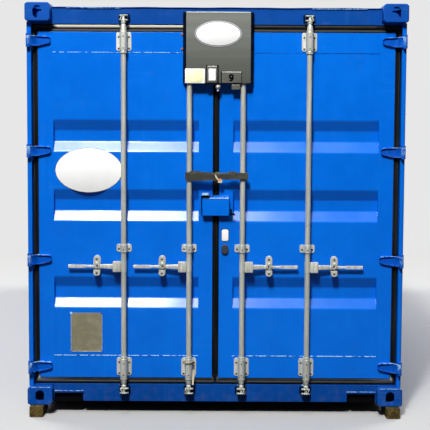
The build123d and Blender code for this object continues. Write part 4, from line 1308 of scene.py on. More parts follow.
@dataclass
class LockingGear:
    """Bars, cams, keepers, brackets, handles and their seats, drawn for the right-hand side."""

    bolt_shares: tuple[float, ...] = (0.12, 0.74)
    cap_radius: float = 23.4
    lever_depth: float = 44.0
    wing_radius: float = 14.0
    cam_core: float = 12.0
    covered_spread: float = 0.45
    catch_offset: float = 174.0
    guide_width: float = 97.0
    short_guide_width: float = 80.0

    def spots(self, reach: float) -> list[tuple[float, float, float]]:
        """Bar, wing offset and height of every fixing on the brackets, reach out from the bar."""
        return [
            (bar, wing * reach, low + share * (high - low))
            for bar in BAR_PLACES
            for low, high in BRACKET_SPANS
            for share in (self.bolt_shares if high - low > 80 else (0.38,))
            for wing in ((-1, 1) if reach else (1,))
        ]

    def bolts(self) -> Shape:
        """Domed bolt heads on the wings of the brackets.

        Returns:
            The bolt heads.
        """
        centres = [(bar + out, LEAF_FRONT - 5.0, height) for bar, out, height in self.spots(33.0)]
        head = [(0.0, 4.5), (3.4, 4.2), (5.4, 3.0), (6.2, 1.4), (6.4, 0.0), (0.0, -0.5)]
        return turned(head, centres, (0, -1, 0), 14)

    def cap_hole_shades(self) -> Shape:
        """Dark discs sunk in the front of the bracket caps: painted shade of their holes."""
        centres = [(bar, BAR_DEPTH - 23.5, height) for bar, _, height in self.spots(0.0)]
        return turned([(0.0, -0.3), (3.4, -0.4), (4.4, 0.0), (4.6, 1.2), (0.0, 1.2)], centres, (0, 1, 0), 14)

    def bracket(self, bar: float, low: float, high: float, width: float) -> Shape:
        """One guide bracket: a plate with round corners and an arched cap whose edges are rounded.

        The cap is an arch, straight sides and a half circle about the bar, carried up through steps
        of radius and height, from the bore at one end to the bore at the other.

        Args:
            bar: Place of the bar.
            low: Lower end.
            high: Upper end.
            width: Width of its plate.

        Returns:
            The bracket.
        """
        corner = min(self.wing_radius, (high - low) / 5)
        middle = (bar, (low + high) / 2)
        wing = plate(rounded_outline(width, high - low, corner), middle, ((0, 75.0), (0, 70.6), (0.8, 70.0)))
        turn = np.linspace(0, math.pi, 22)
        out = np.concatenate([[1.0], np.cos(turn), [-1.0]])
        ahead = np.concatenate([[0.0], np.sin(turn), [0.0]])
        steps = np.array([
            (17.6, low),
            (21.0, low),
            (self.cap_radius, low + 2.5),
            (self.cap_radius, high - 2.5),
            (21.0, high),
            (17.6, high),
        ])
        size = steps[:, :1]
        depth = BAR_DEPTH - size * ahead
        depth[:, [0, -1]] = 70.2
        return joined(wing, Shape().grids(stacked(bar + size * out, depth, steps[:, 1:])))

    def bar_sleeves(self, bar: float) -> Shape:
        """Collars and shoulders turned on the bar where it passes its brackets.

        Args:
            bar: Place of the bar.

        Returns:
            The sleeves.
        """
        low = [(16.8, 318.0), (20.0, 316.5), (21.5, 312.0), (21.5, 307.0), (19.0, 304.0), (16.8, 303.5)]
        foot = [
            (16.8, 184.0), (21.0, 183.5), (21.8, 176.0), (19.5, 171.0), (15.0, 169.0), (15.0, 160.0),
            (16.8, 158.0),
        ]
        high = [
            (16.8, 2274.0), (20.0, 2275.0), (21.8, 2279.0), (21.8, 2286.0), (19.0, 2291.0), (16.8, 2291.6)
        ]
        head = [(16.8, 2411.5), (22.6, 2412.0), (19.0, 2424.0), (17.2, 2430.0), (16.8, 2431.0)]
        return joined(
            *(turned(profile, [(bar, BAR_DEPTH, 0.0)], (0, 0, 1), 24) for profile in (low, foot, high, head))
        )

    def cam(self, bar: float, height: float, inwards: float, spread: float = 1.0) -> Shape:
        """One cam: a turned cone, nub and stem, two flanges and a rib between them.

        Each flange is an outline that swells from the stem towards a tip on either side, carried
        through its thickness; the rib is a pipe along a bow of three points.

        Args:
            bar: Place of the bar.
            height: Height of the cam's middle.
            inwards: 1 where the bar comes from above, -1 where it comes from below.
            spread: Share of the full reach of the flanges' tips.

        Returns:
            The cam.
        """
        rest = [
            (16.8, 80.0), (20.4, 78.0), (21.2, 71.0), (17.3, 46.0), (14.0, 34.0), (12.0, 30.0), (15.0, 26.0),
            (15.4, 20.0), (14.6, 10.0), (11.0, 7.0), (8.5, 3.0), (8.5, -27.0), (0.0, -28.0),
        ]
        stem = turned([(r, height + inwards * t) for r, t in rest], [(bar, BAR_DEPTH, 0.0)], (0, 0, 1), 24)
        shapes = [stem]
        turn = full_turn(44)
        core = self.cam_core
        ahead, behind = (np.clip(way * np.cos(turn), 0, 1) ** 3 for way in (1, -1))
        for level, thick, out, back in ((5.0, 8.0, 26.0, 31.0), (-25.0, 7.0, 27.0, 31.0)):
            swell = core + spread * ((out - core) * ahead + (back - core) * behind)
            steps = np.array([(-2.0, -0.5), (0.0, -0.3), (0.0, 0.3), (-2.0, 0.5)])
            size = swell[None] + steps[:, :1]
            z = height + inwards * (level + thick * steps[:, 1:])
            shapes.append(
                capped(stacked(bar + size * np.cos(turn), BAR_DEPTH + size * np.sin(turn) * 1.1, z))
            )
        rib = np.array([
            (bar + 22.0, 24.0, height + inwards * 2.0),
            (bar + 8.0, 22.0, height - inwards * 14.0),
            (bar + 14.0, 26.0, height - inwards * 23.0),
        ])
        shapes.append(pipe(bow(*rib, 14), 3.6, 8))
        return joined(*shapes)

    def pocket(self, bar: float, height: float, inwards: float) -> Shape:
        """Painted shade in the keeper's pocket behind one cam: a dark plate a little larger than the cam."""
        place = (bar - 4.0, height - inwards * 10.0)
        return plate(rounded_outline(74, 56, 12), place, ((0, 69.7), (0, 68.9), (1.0, 68.4)))

    def lever(self, bar: float) -> Shape:
        """Handle lever: a squarish section whose half height and thickness change along its length.

        The section is a circle drawn out towards its corners by a power of its sine and cosine, and
        the front of the grip is hollowed between its edges.

        Args:
            bar: Place of the bar.

        Returns:
            The lever.
        """
        along = np.concatenate(
            [np.linspace(48, 330, 48), 330 + 30 * np.sin(np.linspace(0.1, math.pi / 2, 10))]
        )
        half = np.interp(
            along, [48, 92, 150, 205, 236, 252, 356, 360], [17, 15.5, 12.5, 9.5, 7.5, 10.8, 10.8, 10.0]
        )
        thick = np.interp(along, [48, 120, 205, 240, 252, 352, 360], [9, 7.5, 7.5, 6.0, 5.2, 5.2, 4.0])
        middle = np.interp(along, [48, 110, 160], [32.0, 38.0, self.lever_depth])
        turn = full_turn(28)
        across, deep = drawn_out(np.cos(turn), 0.45), drawn_out(np.sin(turn), 0.45)
        ends = np.interp(along, [242, 256, 340, 352], [0, 1, 1, 0])
        hollow = ends[:, None] * (1 - across**6)[None] * (deep < -0.5)[None]
        height = HANDLE_HEIGHT + half[:, None] * across[None]
        depth = middle[:, None] + thick[:, None] * deep[None] + 1.6 * hollow
        return capped(stacked(bar + along[:, None], depth, height))

    def hub(self, bar: float) -> Shape:
        """Handle hub: a block with round corners beside the bar, a clamp round the bar and its rivet.

        Args:
            bar: Place of the bar.

        Returns:
            The hub.
        """
        block = plate(
            rounded_outline(52, 68, 6),
            (bar + 44.0, HANDLE_HEIGHT),
            ((0, 54.0), (0, 21.0), (1.6, 18.4), (3.0, 18.0)),
        )
        ring = [(17.2, -34.0), (18.6, -34.0), (18.6, 34.0), (17.2, 34.0)]
        clamp = turned([(r, HANDLE_HEIGHT + t) for r, t in ring], [(bar, BAR_DEPTH, 0.0)], (0, 0, 1), 28)
        head = [(0.0, -1.5), (4.0, -1.2), (6.0, 0.6), (8.0, 1.6), (9.6, 0.0), (0.0, -1.6)]
        rivet = turned(head, [(bar + 46.0, 18.0, HANDLE_HEIGHT)], (0, -1, 0), 22)
        return joined(block, clamp, rivet)

    def flap(self, bar: float) -> Shape:
        """Catch that hangs over the lever: a tongue with two round ends, pressed in the middle.

        Args:
            bar: Place of the bar.

        Returns:
            The catch.
        """
        front = self.lever_depth - 14.0
        tongue = plate(
            rounded_outline(42, 82, 20.9, 10), (bar + self.catch_offset, HANDLE_HEIGHT + 30.0),
            ((0, front + 5.5), (0, front + 1.6), (1.5, front + 0.2), (6.0, front)),
        )
        boss = turned(
            [(0.0, 4.0), (6.0, 4.0), (9.0, 2.5), (11.0, 0.0), (0.0, -1.0)],
            [(bar + self.catch_offset, front + 0.2, HANDLE_HEIGHT + 20.0)],
            (0, -1, 0),
            20,
        )
        return joined(tongue, boss)

    def seat(self, bar: float) -> Shape:
        """Seat of the lever on the leaf: a tongue with round ends, a shelf and a round lip in front of it.

        Args:
            bar: Place of the bar.

        Returns:
            The seat.
        """
        x = bar + self.catch_offset
        front = self.lever_depth - 12.0
        back = plate(
            rounded_outline(44, 126, 21.9, 10), (x, HANDLE_HEIGHT + 8.0), ((0, 75.0), (0, 70.4), (1.2, 69.4))
        )
        shelf = plate(rounded_outline(42, 6, 1.5), (x, HANDLE_HEIGHT - 27.0), ((0, 71.0), (0, front)))
        lip = plate(
            rounded_outline(44, 38, 18.9, 10),
            (x, HANDLE_HEIGHT - 41.0),
            ((0, front + 4), (0, front), (1.5, front - 1.4)),
        )
        return joined(back, shelf, lip)

    def dimples(self, bar: float) -> Shape:
        """Dark discs for the holes of the catch, as painted shade inside them: in the tongue's top, under its
        boss, and in the seat's lip.

        Args:
            bar: Place of the bar.

        Returns:
            The holes.
        """
        x, front = bar + self.catch_offset, self.lever_depth - 14.1
        centres = [
            (x, front, HANDLE_HEIGHT + 49.0),
            (x - 3.0, front, HANDLE_HEIGHT + 4.0),
            (x, front + 0.6, HANDLE_HEIGHT - 43.0),
        ]
        return turned([(0.0, -0.2), (6.2, -0.2), (7.4, 0.4), (7.4, 1.4), (0.0, 1.4)], centres, (0, 1, 0), 18)

    def build(self) -> None:
        """Makes the locking gear."""
        for side in Side:
            label = side.label
            for name, bar in zip(("inner", "outer"), BAR_PLACES):
                lock = f"{label}_{name}"
                dress((f"{lock}_bar",), BAR_ZINC)
                spread = self.covered_spread if name == "inner" else 1.0
                cams = joined(self.cam(bar, CAM_HEIGHTS[0], 1), self.cam(bar, CAM_HEIGHTS[1], -1, spread))
                grip = joined(self.lever(bar), self.hub(bar), self.flap(bar))
                for part, finish, shape, replaced in (
                    ("cam_ends", ZINC, cams, (f"{lock}_cams",)),
                    ("sleeves", BAR_ZINC, self.bar_sleeves(bar), ()),
                    ("lever", ZINC, grip, (f"{lock}_handle",)),
                    ("catch_holes", DARK_STEEL_AND_HOLE_SHADE, self.dimples(bar), ()),
                ):
                    piece = Piece(f"{lock}_{part}", finish, "galvanised", f"{lock}_lock", replaces=replaced)
                    piece.build(on_side(shape, side))
            spans = [(bar, low, high) for bar in BAR_PLACES for low, high in BRACKET_SPANS]
            short = (Side.LEFT, BAR_PLACES[0], BRACKET_SPANS[2][0])
            narrow, wide = self.short_guide_width, self.guide_width
            widths = [narrow if (side, bar, low) == short else wide for bar, low, _ in spans]
            brackets = joined(*(self.bracket(*span, width) for span, width in zip(spans, widths)))
            guides = Piece(f"{label}_guides", ZINC, "galvanised", side.door, shell=True)
            guides.replaces = (f"{label}_bar_brackets",)
            guides.build(on_side(brackets, side))
            seats = Piece(
                f"{label}_catch_seats", ZINC, "galvanised", side.door, replaces=(f"{label}_handle_seats",)
            )
            seats.build(on_side(joined(*(self.seat(bar) for bar in BAR_PLACES)), side))
            Piece(f"{label}_guide_bolts", DARK_STEEL_AND_HOLE_SHADE, "galvanised", side.door).build(
                on_side(self.bolts(), side)
            )
            Piece(f"{label}_guide_hole_shades", DARK_STEEL_AND_HOLE_SHADE, "galvanised", side.door).build(
                on_side(self.cap_hole_shades(), side)
            )
            # Dark plates behind the cams as painted shade in the keepers' pockets.
            pockets = [
                self.pocket(bar, height, way)
                for bar in BAR_PLACES
                for height, way in zip(CAM_HEIGHTS, (1, -1))
            ]
            Piece(f"{label}_keeper_pockets", PAINTED_SHADE_NAVY, "keeper_steel").build(
                on_side(joined(*pockets), side)
            )
        soften_all(("sill_keepers", "header_keepers"), KEEPER_BLUE_AND_SHADE, "keeper_steel", 1.4)


def hood(front: np.ndarray, top: np.ndarray, bottom: np.ndarray, wall: float, edge: float) -> Shape:
    """Sheet hood, open below: its outline carried down outside and up again inside.

    Each ring is the outline moved inwards along its own normal; the first ones round the upper edge.
    A straight sheet between the two ends of the outline closes the hood behind.

    Args:
        front: Outline seen from above, x and depth, from the right round the front to the left.
        top: Height of the upper edge at each point of the outline.
        bottom: Height of the lower edge at each point.
        wall: Thickness of the sheet.
        edge: Size of the rounding at the top.

    Returns:
        The closed shape.
    """
    inward = square_to(np.gradient(front, axis=0))
    steps = (
        (edge, 0.0, 1.0), (0.35 * edge, -0.12 * edge, 1.0), (0.1 * edge, -0.4 * edge, 1.0), (0.0, -edge, 1.0),
        (0.0, 0.0, 0.0), (wall, 0.0, 0.0), (wall, -wall, 1.0),
    )
    return capped(np.array([
        np.column_stack([front + inset * inward, bottom + share * (top - bottom) + drop])
        for inset, drop, share in steps
    ]))


def bent_outline(corners: Sequence[Pair], radius: float, spacing: float = 24.0) -> np.ndarray:
    """Open line through corners, each rounded by a bow of three points, with points all along it.

    Args:
        corners: Corner points.
        radius: How far from each corner the bow starts.
        spacing: Largest distance between points.

    Returns:
        Points along the line.
    """
    places = np.array(corners, float)
    line = [places[:1]]
    for before, corner, after in zip(places[:-2], places[1:-1], places[2:]):
        start = corner + radius * (before - corner) / np.linalg.norm(before - corner)
        end = corner + radius * (after - corner) / np.linalg.norm(after - corner)
        line.append(bow(start, corner, end, 5))
    line.append(places[-1:])
    rough = np.concatenate(line)
    lengths = np.linalg.norm(np.diff(rough, axis=0), axis=1)
    runs = [
        a + np.linspace(0, 1, max(1, math.ceil(length / spacing)), endpoint=False)[:, None] * (b - a)
        for a, b, length in zip(rough[:-1], rough[1:], lengths)
    ]
    return np.concatenate([*runs, rough[-1:]])


@dataclass
class LockCover:
    """Grey cover box over the inner bars, with its oval, labels, module, number plate and knob."""

    front: float = 6.0
    back: float = 64.0
    wall: float = 3.0
    front_sides: Pair = (-195.5, 219.5)
    back_sides: Pair = (-215.0, 239.0)
    tops: Pair = (2535.0, 2538.0)
    bottom: float = 2087.0
    middle: float = 12.0
    oval_place: Pair = (10.1, 2396.7)
    label_place: Pair = (-137.0, 2131.5)
    module_place: Pair = (-27.3, 2142.0)
    plate_place: Pair = (96.0, 2122.5)
    knob_place: Pair = (10.1, 2064.0)
    tab_place: Pair = (124.0, 2062.0)

    def box(self) -> Shape:
        """The tapered hood, wider at the back than in front, and its two feet.

        Returns:
            Hood and feet.
        """
        (left, right), (far_left, far_right) = self.front_sides, self.back_sides
        outline = bent_outline(
            [(far_right, self.back), (right, self.front), (left, self.front), (far_left, self.back)], 5.0
        )
        top = np.interp(outline[:, 1], (self.front, self.back), self.tops)
        bottom = np.full(len(outline), self.bottom)
        feet = [
            plate(rounded_outline(20, 116, 3), (far_right - 12.0, height), ((0, 75.0), (0, 56.0)))
            for height in (2147.0, 2231.0)
        ]
        return joined(hood(outline, top, bottom, self.wall, 5.0), *feet)

    def underside(self) -> Shape:
        """Strip of sheet that closes the cover below, between the two inner bars."""
        return plate(
            rounded_outline(200, self.wall, 0.6),
            (self.middle, self.bottom + 1.6),
            ((0, self.back), (0, self.front + 3)),
        )

    def flat(self, outline: np.ndarray, place: Pair, low: float, high: float, edge: float) -> Shape:
        """A film or sheet on the cover's front.

        Args:
            outline: Its outline.
            place: Its middle, across and up.
            low: How far in front of the cover its edge starts.
            high: How far in front its face lies.
            edge: Size of the rounding at its face.

        Returns:
            The sheet.
        """
        return plate(
            outline, place, ((0, self.front + 0.2), (0, self.front - low), (edge, self.front - high))
        )

    def highlight_line(self, place: Pair, width: float, rise: float, ahead: float, radius: float) -> Shape:
        """Painted highlight on a fitting's upper edge: a thin pale rod across it, a little bowed.

        Args:
            place: Middle of the fitting.
            width: Length of the rod.
            rise: How far above the middle it lies.
            ahead: How far in front of the cover.
            radius: Radius of the rod.

        Returns:
            The rod.
        """
        (x, z), depth = place, self.front - ahead
        ends = [
            (x - width / 2, depth, z + rise),
            (x, depth - 0.2, z + rise + 0.3),
            (x + width / 2, depth, z + rise),
        ]
        return pipe(np.array(ends), radius, 8)

    def number_nine(self) -> Shape:
        """The figure 9: a ribbon along a loop and a tail, half its width to each side of the line.

        Returns:
            The figure.
        """
        loop = np.linspace(0, 2 * math.pi, 40)
        tail = np.linspace(0, -math.radians(128), 22)
        ring = np.stack([10.6 * np.cos(loop), 8.5 + 11.0 * np.sin(loop)], axis=-1)
        hook = np.stack([-1.6 + 12.2 * np.cos(tail), 6.5 + 23.5 * np.sin(tail)], axis=-1)
        shapes = []
        for line in (ring, hook):
            normal = square_to(np.gradient(line, axis=0)) * 5.8
            edges = np.stack([line + normal, line - normal], axis=1)
            x, z = edges[..., 0] + self.plate_place[0] - 2.0, edges[..., 1] + self.plate_place[1] - 2.5
            face, back = (stacked(x, np.array(self.front - ahead), z) for ahead in (4.6, 3.8))
            shapes.append(Shape().grids(np.concatenate([face, back[:, ::-1]], axis=1), close_columns=True))
        return joined(*shapes)

    def fixed(self, name: str, finish: Finish, shape: Shape) -> None:
        """Adds one piece on the cover, which rides on the right-hand door.

        Args:
            name: Its name.
            finish: Its finish.
            shape: Its shape.
        """
        Piece(name, finish, "cover_fitting", "right_door").build(shape)

    def build(self) -> None:
        """Makes the cover and all that sits on it."""
        box = Piece("cover_hood", COVER_GREY, "cover_grey", "right_door", replaces=("cover_box",))
        # The pale mark paints a sheen on the cover's upper part.
        box.marks = {"pale": self.painted_sheen}
        box.second, box.second_rule = COVER_FLANK_AND_SHADE, self.is_flank
        box.build(self.box())
        self.fixed("cover_underside", COVER_FLANK_AND_SHADE, self.underside())
        # A pale rod along the cover's top edge as painted highlight.
        self.fixed(
            "cover_top_highlight", PAINTED_HIGHLIGHT_PALE, self.highlight_line((self.middle, self.tops[0]), 408.0, -3.5, -1.2, 3.4)
        )
        oval, label = self.oval_place, self.label_place
        for name, finish, outline, place, low, high, edge in (
            ("cover_oval_rim", RIM_FILM, oval_outline(308, 170), oval, 0.3, 0.6, 0.6),
            ("cover_oval_band", BAND_FILM, oval_outline(302, 164), oval, 0.8, 1.0, 0.4),
            ("cover_oval_line", RIM_FILM, oval_outline(288, 151), oval, 1.2, 1.3, 0.4),
            ("cover_oval", WHITE_FILM, oval_outline(281, 145), oval, 1.6, 1.9, 0.6),
            ("cover_label", WHITE_FILM, rounded_outline(126, 92, 3), label, 0.6, 0.8, 0.4),
            ("cover_label_patch", YELLOW_FILM, rounded_outline(110, 86, 28), label, 1.0, 1.2, 0.3),
        ):
            self.fixed(name, finish, self.flat(outline, place, low, high, edge))
        self.fixed(
            "module_shadow_gap",
            COVER_FLANK_AND_SHADE,
            self.flat(rounded_outline(81, 124, 4), (-26.3, 2138.0), 0.5, 0.8, 0.2),
        )
        x, z = self.module_place
        case = plate(
            rounded_outline(67, 109, 5),
            (x, z),
            ((0, self.front + 0.1), (0, self.front - 3.0), (4.0, self.front - 6.6), (5.0, self.front - 6.8)),
        )
        module = Piece("cover_module", FITTING_GREY, "cover_fitting", "right_door")
        module.replaces = ("cover_fittings",)
        module.build(case)
        # A pale rod on the module's top edge as painted highlight.
        self.fixed("module_top_highlight", PAINTED_HIGHLIGHT_PALE, self.highlight_line(self.module_place, 58.0, 49.5, 4.4, 2.6))
        self.fixed(
            "module_label", WHITE_FILM, self.flat(rounded_outline(45, 75, 5), (x, z - 2.0), 7.4, 7.6, 0.3)
        )
        self.fixed(
            "plate_shadow_gap",
            COVER_FLANK_AND_SHADE,
            self.flat(rounded_outline(134, 77, 2), (94.5, 2121.0), 0.5, 0.8, 0.2),
        )
        self.fixed(
            "number_plate",
            FITTING_GREY,
            self.flat(rounded_outline(124, 69, 2), self.plate_place, 2.8, 3.6, 1.2),
        )
        # A pale rod on the number plate's top edge as painted highlight.
        self.fixed("plate_top_highlight", PAINTED_HIGHLIGHT_PALE, self.highlight_line(self.plate_place, 119.0, 33.2, 3.0, 2.6))
        self.fixed("number_nine", PRINT_AND_SHADE_BLACK, self.number_nine())
        self.fixed("cover_knob", BRIGHT_STEEL, self.knob())
        (x, z), (tab_x, tab_z) = self.knob_place, self.tab_place
        stems = [
            plate(rounded_outline(16, 22, 3), (x, z + 16.0), ((0, 42.0), (0, 15.0), (1.5, 13.5))),
            plate(rounded_outline(40, 24, 2), (tab_x, tab_z + 18.0), ((0, 24.0), (0, 17.0), (1.0, 16.0))),
        ]
        # The stems under the cover are dark as painted shade.
        self.fixed("cover_stems", COVER_FLANK_AND_SHADE, joined(*stems))
        tab = plate(rounded_outline(54, 31, 3), self.tab_place, ((0, 20.0), (0, 13.5), (1.5, 12.1)))
        self.fixed("cover_tab", FITTING_GREY, tab)
        # A pale rod on the tab's top edge as painted highlight.
        self.fixed("tab_top_highlight", PAINTED_HIGHLIGHT_PALE, self.highlight_line(self.tab_place, 49.0, 13.5, -6.8, 2.2))
        stud = [(0.0, 7.0), (5.0, 6.5), (7.4, 4.5), (8.2, 0.0), (0.0, -1.0)]
        studs = turned(
            stud, [(-220.0, LEAF_FRONT - 1.0, 2397.0), (-220.0, LEAF_FRONT - 1.0, 2306.0)], (0, -1, 0), 14
        )
        Piece("rusty_rail_bolts", RUSTY, "galvanised", "left_door").build(studs)

    def painted_sheen(self, places: np.ndarray) -> np.ndarray:
        """Where the cover is painted lighter: a painted sheen most near its top, and a little lighter along
        its lower edge.
        """
        share = (places[:, 2] - self.bottom) / (self.tops[0] - self.bottom)
        return np.clip((share - 0.72) / 0.22, 0, 1) + 0.25 * np.clip((0.2 - share) / 0.1, 0, 1)

    def is_flank(self, normal: np.ndarray) -> np.ndarray:
        """Which faces belong to the dark sides: all but the front."""
        return normal[:, 1] > -0.98

    def knob(self) -> Shape:
        """Round knob below the cover, with a small nub under it, both on stems that run back.

        Returns:
            Knob and nub.
        """
        ball = [
            (0.0, -16.5), (6.5, -15.0), (12.0, -10.5), (15.5, -4.0), (16.0, 2.0),
            (13.0, 8.0), (9.0, 11.0), (8.0, 15.0), (8.0, 27.0), (0.0, 27.0),
        ]
        x, z = self.knob_place
        nub = [(0.0, -9.0), (5.0, -7.0), (8.0, -2.0), (7.0, 5.0), (4.0, 8.0), (4.0, 18.0), (0.0, 18.0)]
        return joined(
            turned(ball, [(x, 23.0, z)], (0, 1, 0), 28), turned(nub, [(x, 28.0, z - 23.0)], (0, 1, 0), 20)
        )


@dataclass
class Signs:
    """Blank oval sign and bare data plate on the left door, sticker and sensor on the right one."""

    front: float = LEAF_FRONT
    plate_place: Pair = (-840.5, 467.0)
    plate_size: Pair = (205.0, 258.0)
    oval_place: Pair = (-821.0, 1526.0)
    sticker_place: Pair = (61.0, 1108.5)

    def plate_corners(self) -> list[Pair]:
        """Corner places of the data plate."""
        (x, z), (width, height) = self.plate_place, self.plate_size
        return [(x + a * width / 2, z + b * height / 2) for a in (-1, 1) for b in (-1, 1)]

    def build(self) -> None:
        """Makes the signs."""
        back = self.front + 0.6
        rim = plate(
            oval_outline(436, 290, 96),
            self.oval_place,
            ((0, back), (0, self.front - 1.2), (0.8, self.front - 1.6)),
        )
        Piece("oval_sign_rim", RIM_FILM, "cover_fitting", "left_door").build(rim)
        face = plate(
            oval_outline(430, 284, 96),
            self.oval_place,
            ((0, self.front - 1.0), (0, self.front - 2.0), (0.6, self.front - 2.3)),
        )
        Piece("oval_sign", WHITE_FILM, "cover_fitting", "left_door").build(face)
        data = plate(
            rounded_outline(*self.plate_size, 5),
            self.plate_place,
            ((0, back), (0, self.front - 1.4), (0.7, self.front - 2.0)),
        )
        Piece("data_plate", PLATE_METAL, "galvanised", "left_door").build(data)
        clips = [
            plate(
                rounded_outline(15, 15, 5),
                (
                    x - 3 * math.copysign(1, x - self.plate_place[0]),
                    z - 3 * math.copysign(1, z - self.plate_place[1]),
                ),
                ((0, back), (0, self.front - 2.4), (1.2, self.front - 3.2)),
            )
            for x, z in self.plate_corners()
        ]
        Piece("data_plate_clips", WORN_EDGE_AND_HIGHLIGHT, "galvanised", "left_door").build(joined(*clips))
        (x, z), fold = self.plate_place, self.front - 2.0
        sides = [bead((edge, fold, z - 124), (edge, fold, z + 124), 1.3, 21) for edge in (x - 101, x + 101)]
        sides.append(bead((-940, fold, 341.0), (-741, fold, 341.0), 1.6, 22))
        Piece("data_plate_fold", BRIGHT_STEEL, "galvanised", "left_door").build(joined(*sides))
        border = plate(
            rounded_outline(50, 83, 11),
            self.sticker_place,
            ((0, back), (0, self.front - 0.3), (0.3, self.front - 0.5)),
        )
        Piece("stile_sticker_border", PRINT_AND_SHADE_BLACK, "cover_fitting", "right_door").build(border)
        sticker = plate(
            rounded_outline(43, 75, 9),
            self.sticker_place,
            ((0, back), (0, self.front - 0.8), (0.4, self.front - 1.0)),
        )
        Piece("stile_sticker", WHITE_FILM, "cover_fitting", "right_door").build(sticker)
        soften_all(("door_sensor",), SENSOR_BLACK, "sensor_black", 1.5)


@dataclass
class Padlocking:
    """Padlock box with its tab, the strap across the inner bars, and a wire ring with a paper tag."""

    half_width: float = 87.0
    front: float = 32.0
    low: float = 1240.0
    high: float = 1353.0
    strap_ends: Pair = (-198.0, 207.0)
    strap_heights: Pair = (1464.0, 1521.0)

    def box(self) -> Shape:
        """Hood over the padlock, and its sloping top plate on the right-hand leaf.

        Returns:
            Hood and top plate.
        """
        half, left_back = self.half_width, 64.5
        outline = bent_outline(
            [(half, 75.0), (half, self.front), (-half, self.front), (-half, left_back)], 6.0
        )
        level = np.full(len(outline), self.high)
        shell = hood(outline, level, np.full(len(outline), self.low), 4.0, 4.0)
        profile = ((74.6, 14.0), (self.front + 9, 1.5), (self.front + 9, -1.5), (74.6, -1.5))
        slope = np.array([[(x, depth, self.high + rise) for depth, rise in profile] for x in (-16.0, 85.0)])
        return joined(shell, capped(slope))

    def bolt(self) -> Shape:
        """Dark end of the lock's bolt, with a small grip, at the right of the box.

        Returns:
            The bolt's end.
        """
        end = [(0.0, 38.0), (5.0, 37.5), (7.6, 35.0), (8.0, 31.0), (6.5, 30.0), (6.5, 0.0)]
        reach = turned(end, [(self.half_width - 1.0, BAR_DEPTH, 1247.0)], (1, 0, 0), 18)
        grip = plate(
            rounded_outline(12, 40, 5), (self.half_width + 11.0, 1263.0), ((0, 52.0), (0, 30.0), (1.5, 28.0))
        )
        return joined(reach, grip)

    def strap(self) -> Shape:
        """Torn webbing: a band whose two edges and front wander by sines of different lengths.

        Returns:
            The band, with its ring round the bar.
        """
        x = np.linspace(*self.strap_ends, 150)
        rough = np.random.default_rng(31).normal(0, 0.5, (2, len(x)))
        jag = np.abs(np.sin(x / 23.0) * np.sin(x / 6.1)) ** 3 * 6.0
        right = 1 / (1 + np.exp(-(x - 20) / 6))
        high = self.strap_heights[1] - 4.5 * right - jag * 0.8 + rough[0] - 7 * np.exp(-(((x + 12) / 9) ** 2))
        low = self.strap_heights[0] + 7.0 * right + jag + rough[1]
        share = np.array([0.0, 0.06, 0.35, 0.65, 0.94, 1.0])
        z = low[:, None] + share * (high - low)[:, None]
        front = 8.6 + 1.4 * np.sin(x / 31)[:, None] * np.sin(share * 5 + 1) + 0.5 * np.sin(x / 7)[:, None]
        ring = [(17.6, 1468.0), (21.0, 1468.0), (21.0, 1516.0), (17.6, 1516.0)]
        band = slab(x[:, None], front, front + 2.6, z)
        return joined(band, turned(ring, [(BAR_PLACES[0], BAR_DEPTH, 0.0)], (0, 0, 1), 26))

    def fray(self, places: np.ndarray) -> np.ndarray:
        """How frayed the webbing is: most along its upper edge near the middle."""
        edge = self.strap_heights[1] - 7 - places[:, 2]
        return np.clip(1 - edge / 4, 0, 1) * (0.25 + 0.75 * np.exp(-(((places[:, 0] - 25) / 45) ** 2)))

    def scraps(self) -> Shape:
        """Torn scraps of webbing that stand up behind the band's upper edge.

        Returns:
            The scraps.
        """
        scraps = []
        for first, last, top in ((-168.0, -92.0, 1529.0), (78.0, 132.0, 1527.0)):
            x = np.linspace(first, last, 24)
            off = np.abs(x - (first + last) / 2) / (last - first) * 2
            high = top - 2.2 * np.abs(np.sin(x / 5.0)) - 5 * off**6
            low = np.full_like(x, 1505.0)
            z = np.stack([low, high, high, low], axis=-1)
            scraps.append(capped(stacked(x[:, None], np.array([11.0, 11.0, 13.0, 13.0]), z)))
        return joined(*scraps)

    def build(self) -> None:
        """Makes the padlock box, the strap, the wire ring and the paper tags."""
        box = Piece("padlock_hood", DOOR_BLUE, "fitting_blue", "right_door", replaces=("padlock_box",))
        box.build(self.box())
        # The bolt's end is dark navy as painted shade.
        Piece("padlock_bolt", PAINTED_SHADE_NAVY, "fitting_blue", "right_door").build(self.bolt())
        # A dark strip in the gap beside the box as painted shade.
        gap = plate(rounded_outline(8, 130, 2), (-91.5, 1308.0), ((0, 74.5), (0, 66.0)))
        Piece("padlock_side_gap_shade", PAINTED_SHADE_NAVY, "fitting_blue", "left_door").build(gap)
        # A pale rod along the hood's top front edge as painted highlight.
        rim = np.array([(x, self.front + 1.0, self.high - 1.6) for x in (-83.0, -30.0, 30.0, 83.0)])
        Piece("padlock_hood_top_highlight", PAINTED_HIGHLIGHT_PALE, "fitting_blue", "right_door").build(pipe(rim, 2.4, 8))
        soften_all(("padlock_tab",), FITTING_BLUE, "fitting_blue", 1.6)
        # Black plate in the tab's slot as painted shade.
        slot = plate(rounded_outline(51, 15, 2), (-68.5, 1361.0), ((0, 28.6), (0, 27.2)))
        Piece("padlock_tab_slot_shade", PRINT_AND_SHADE_BLACK, "fitting_blue", "left_door").build(slot)
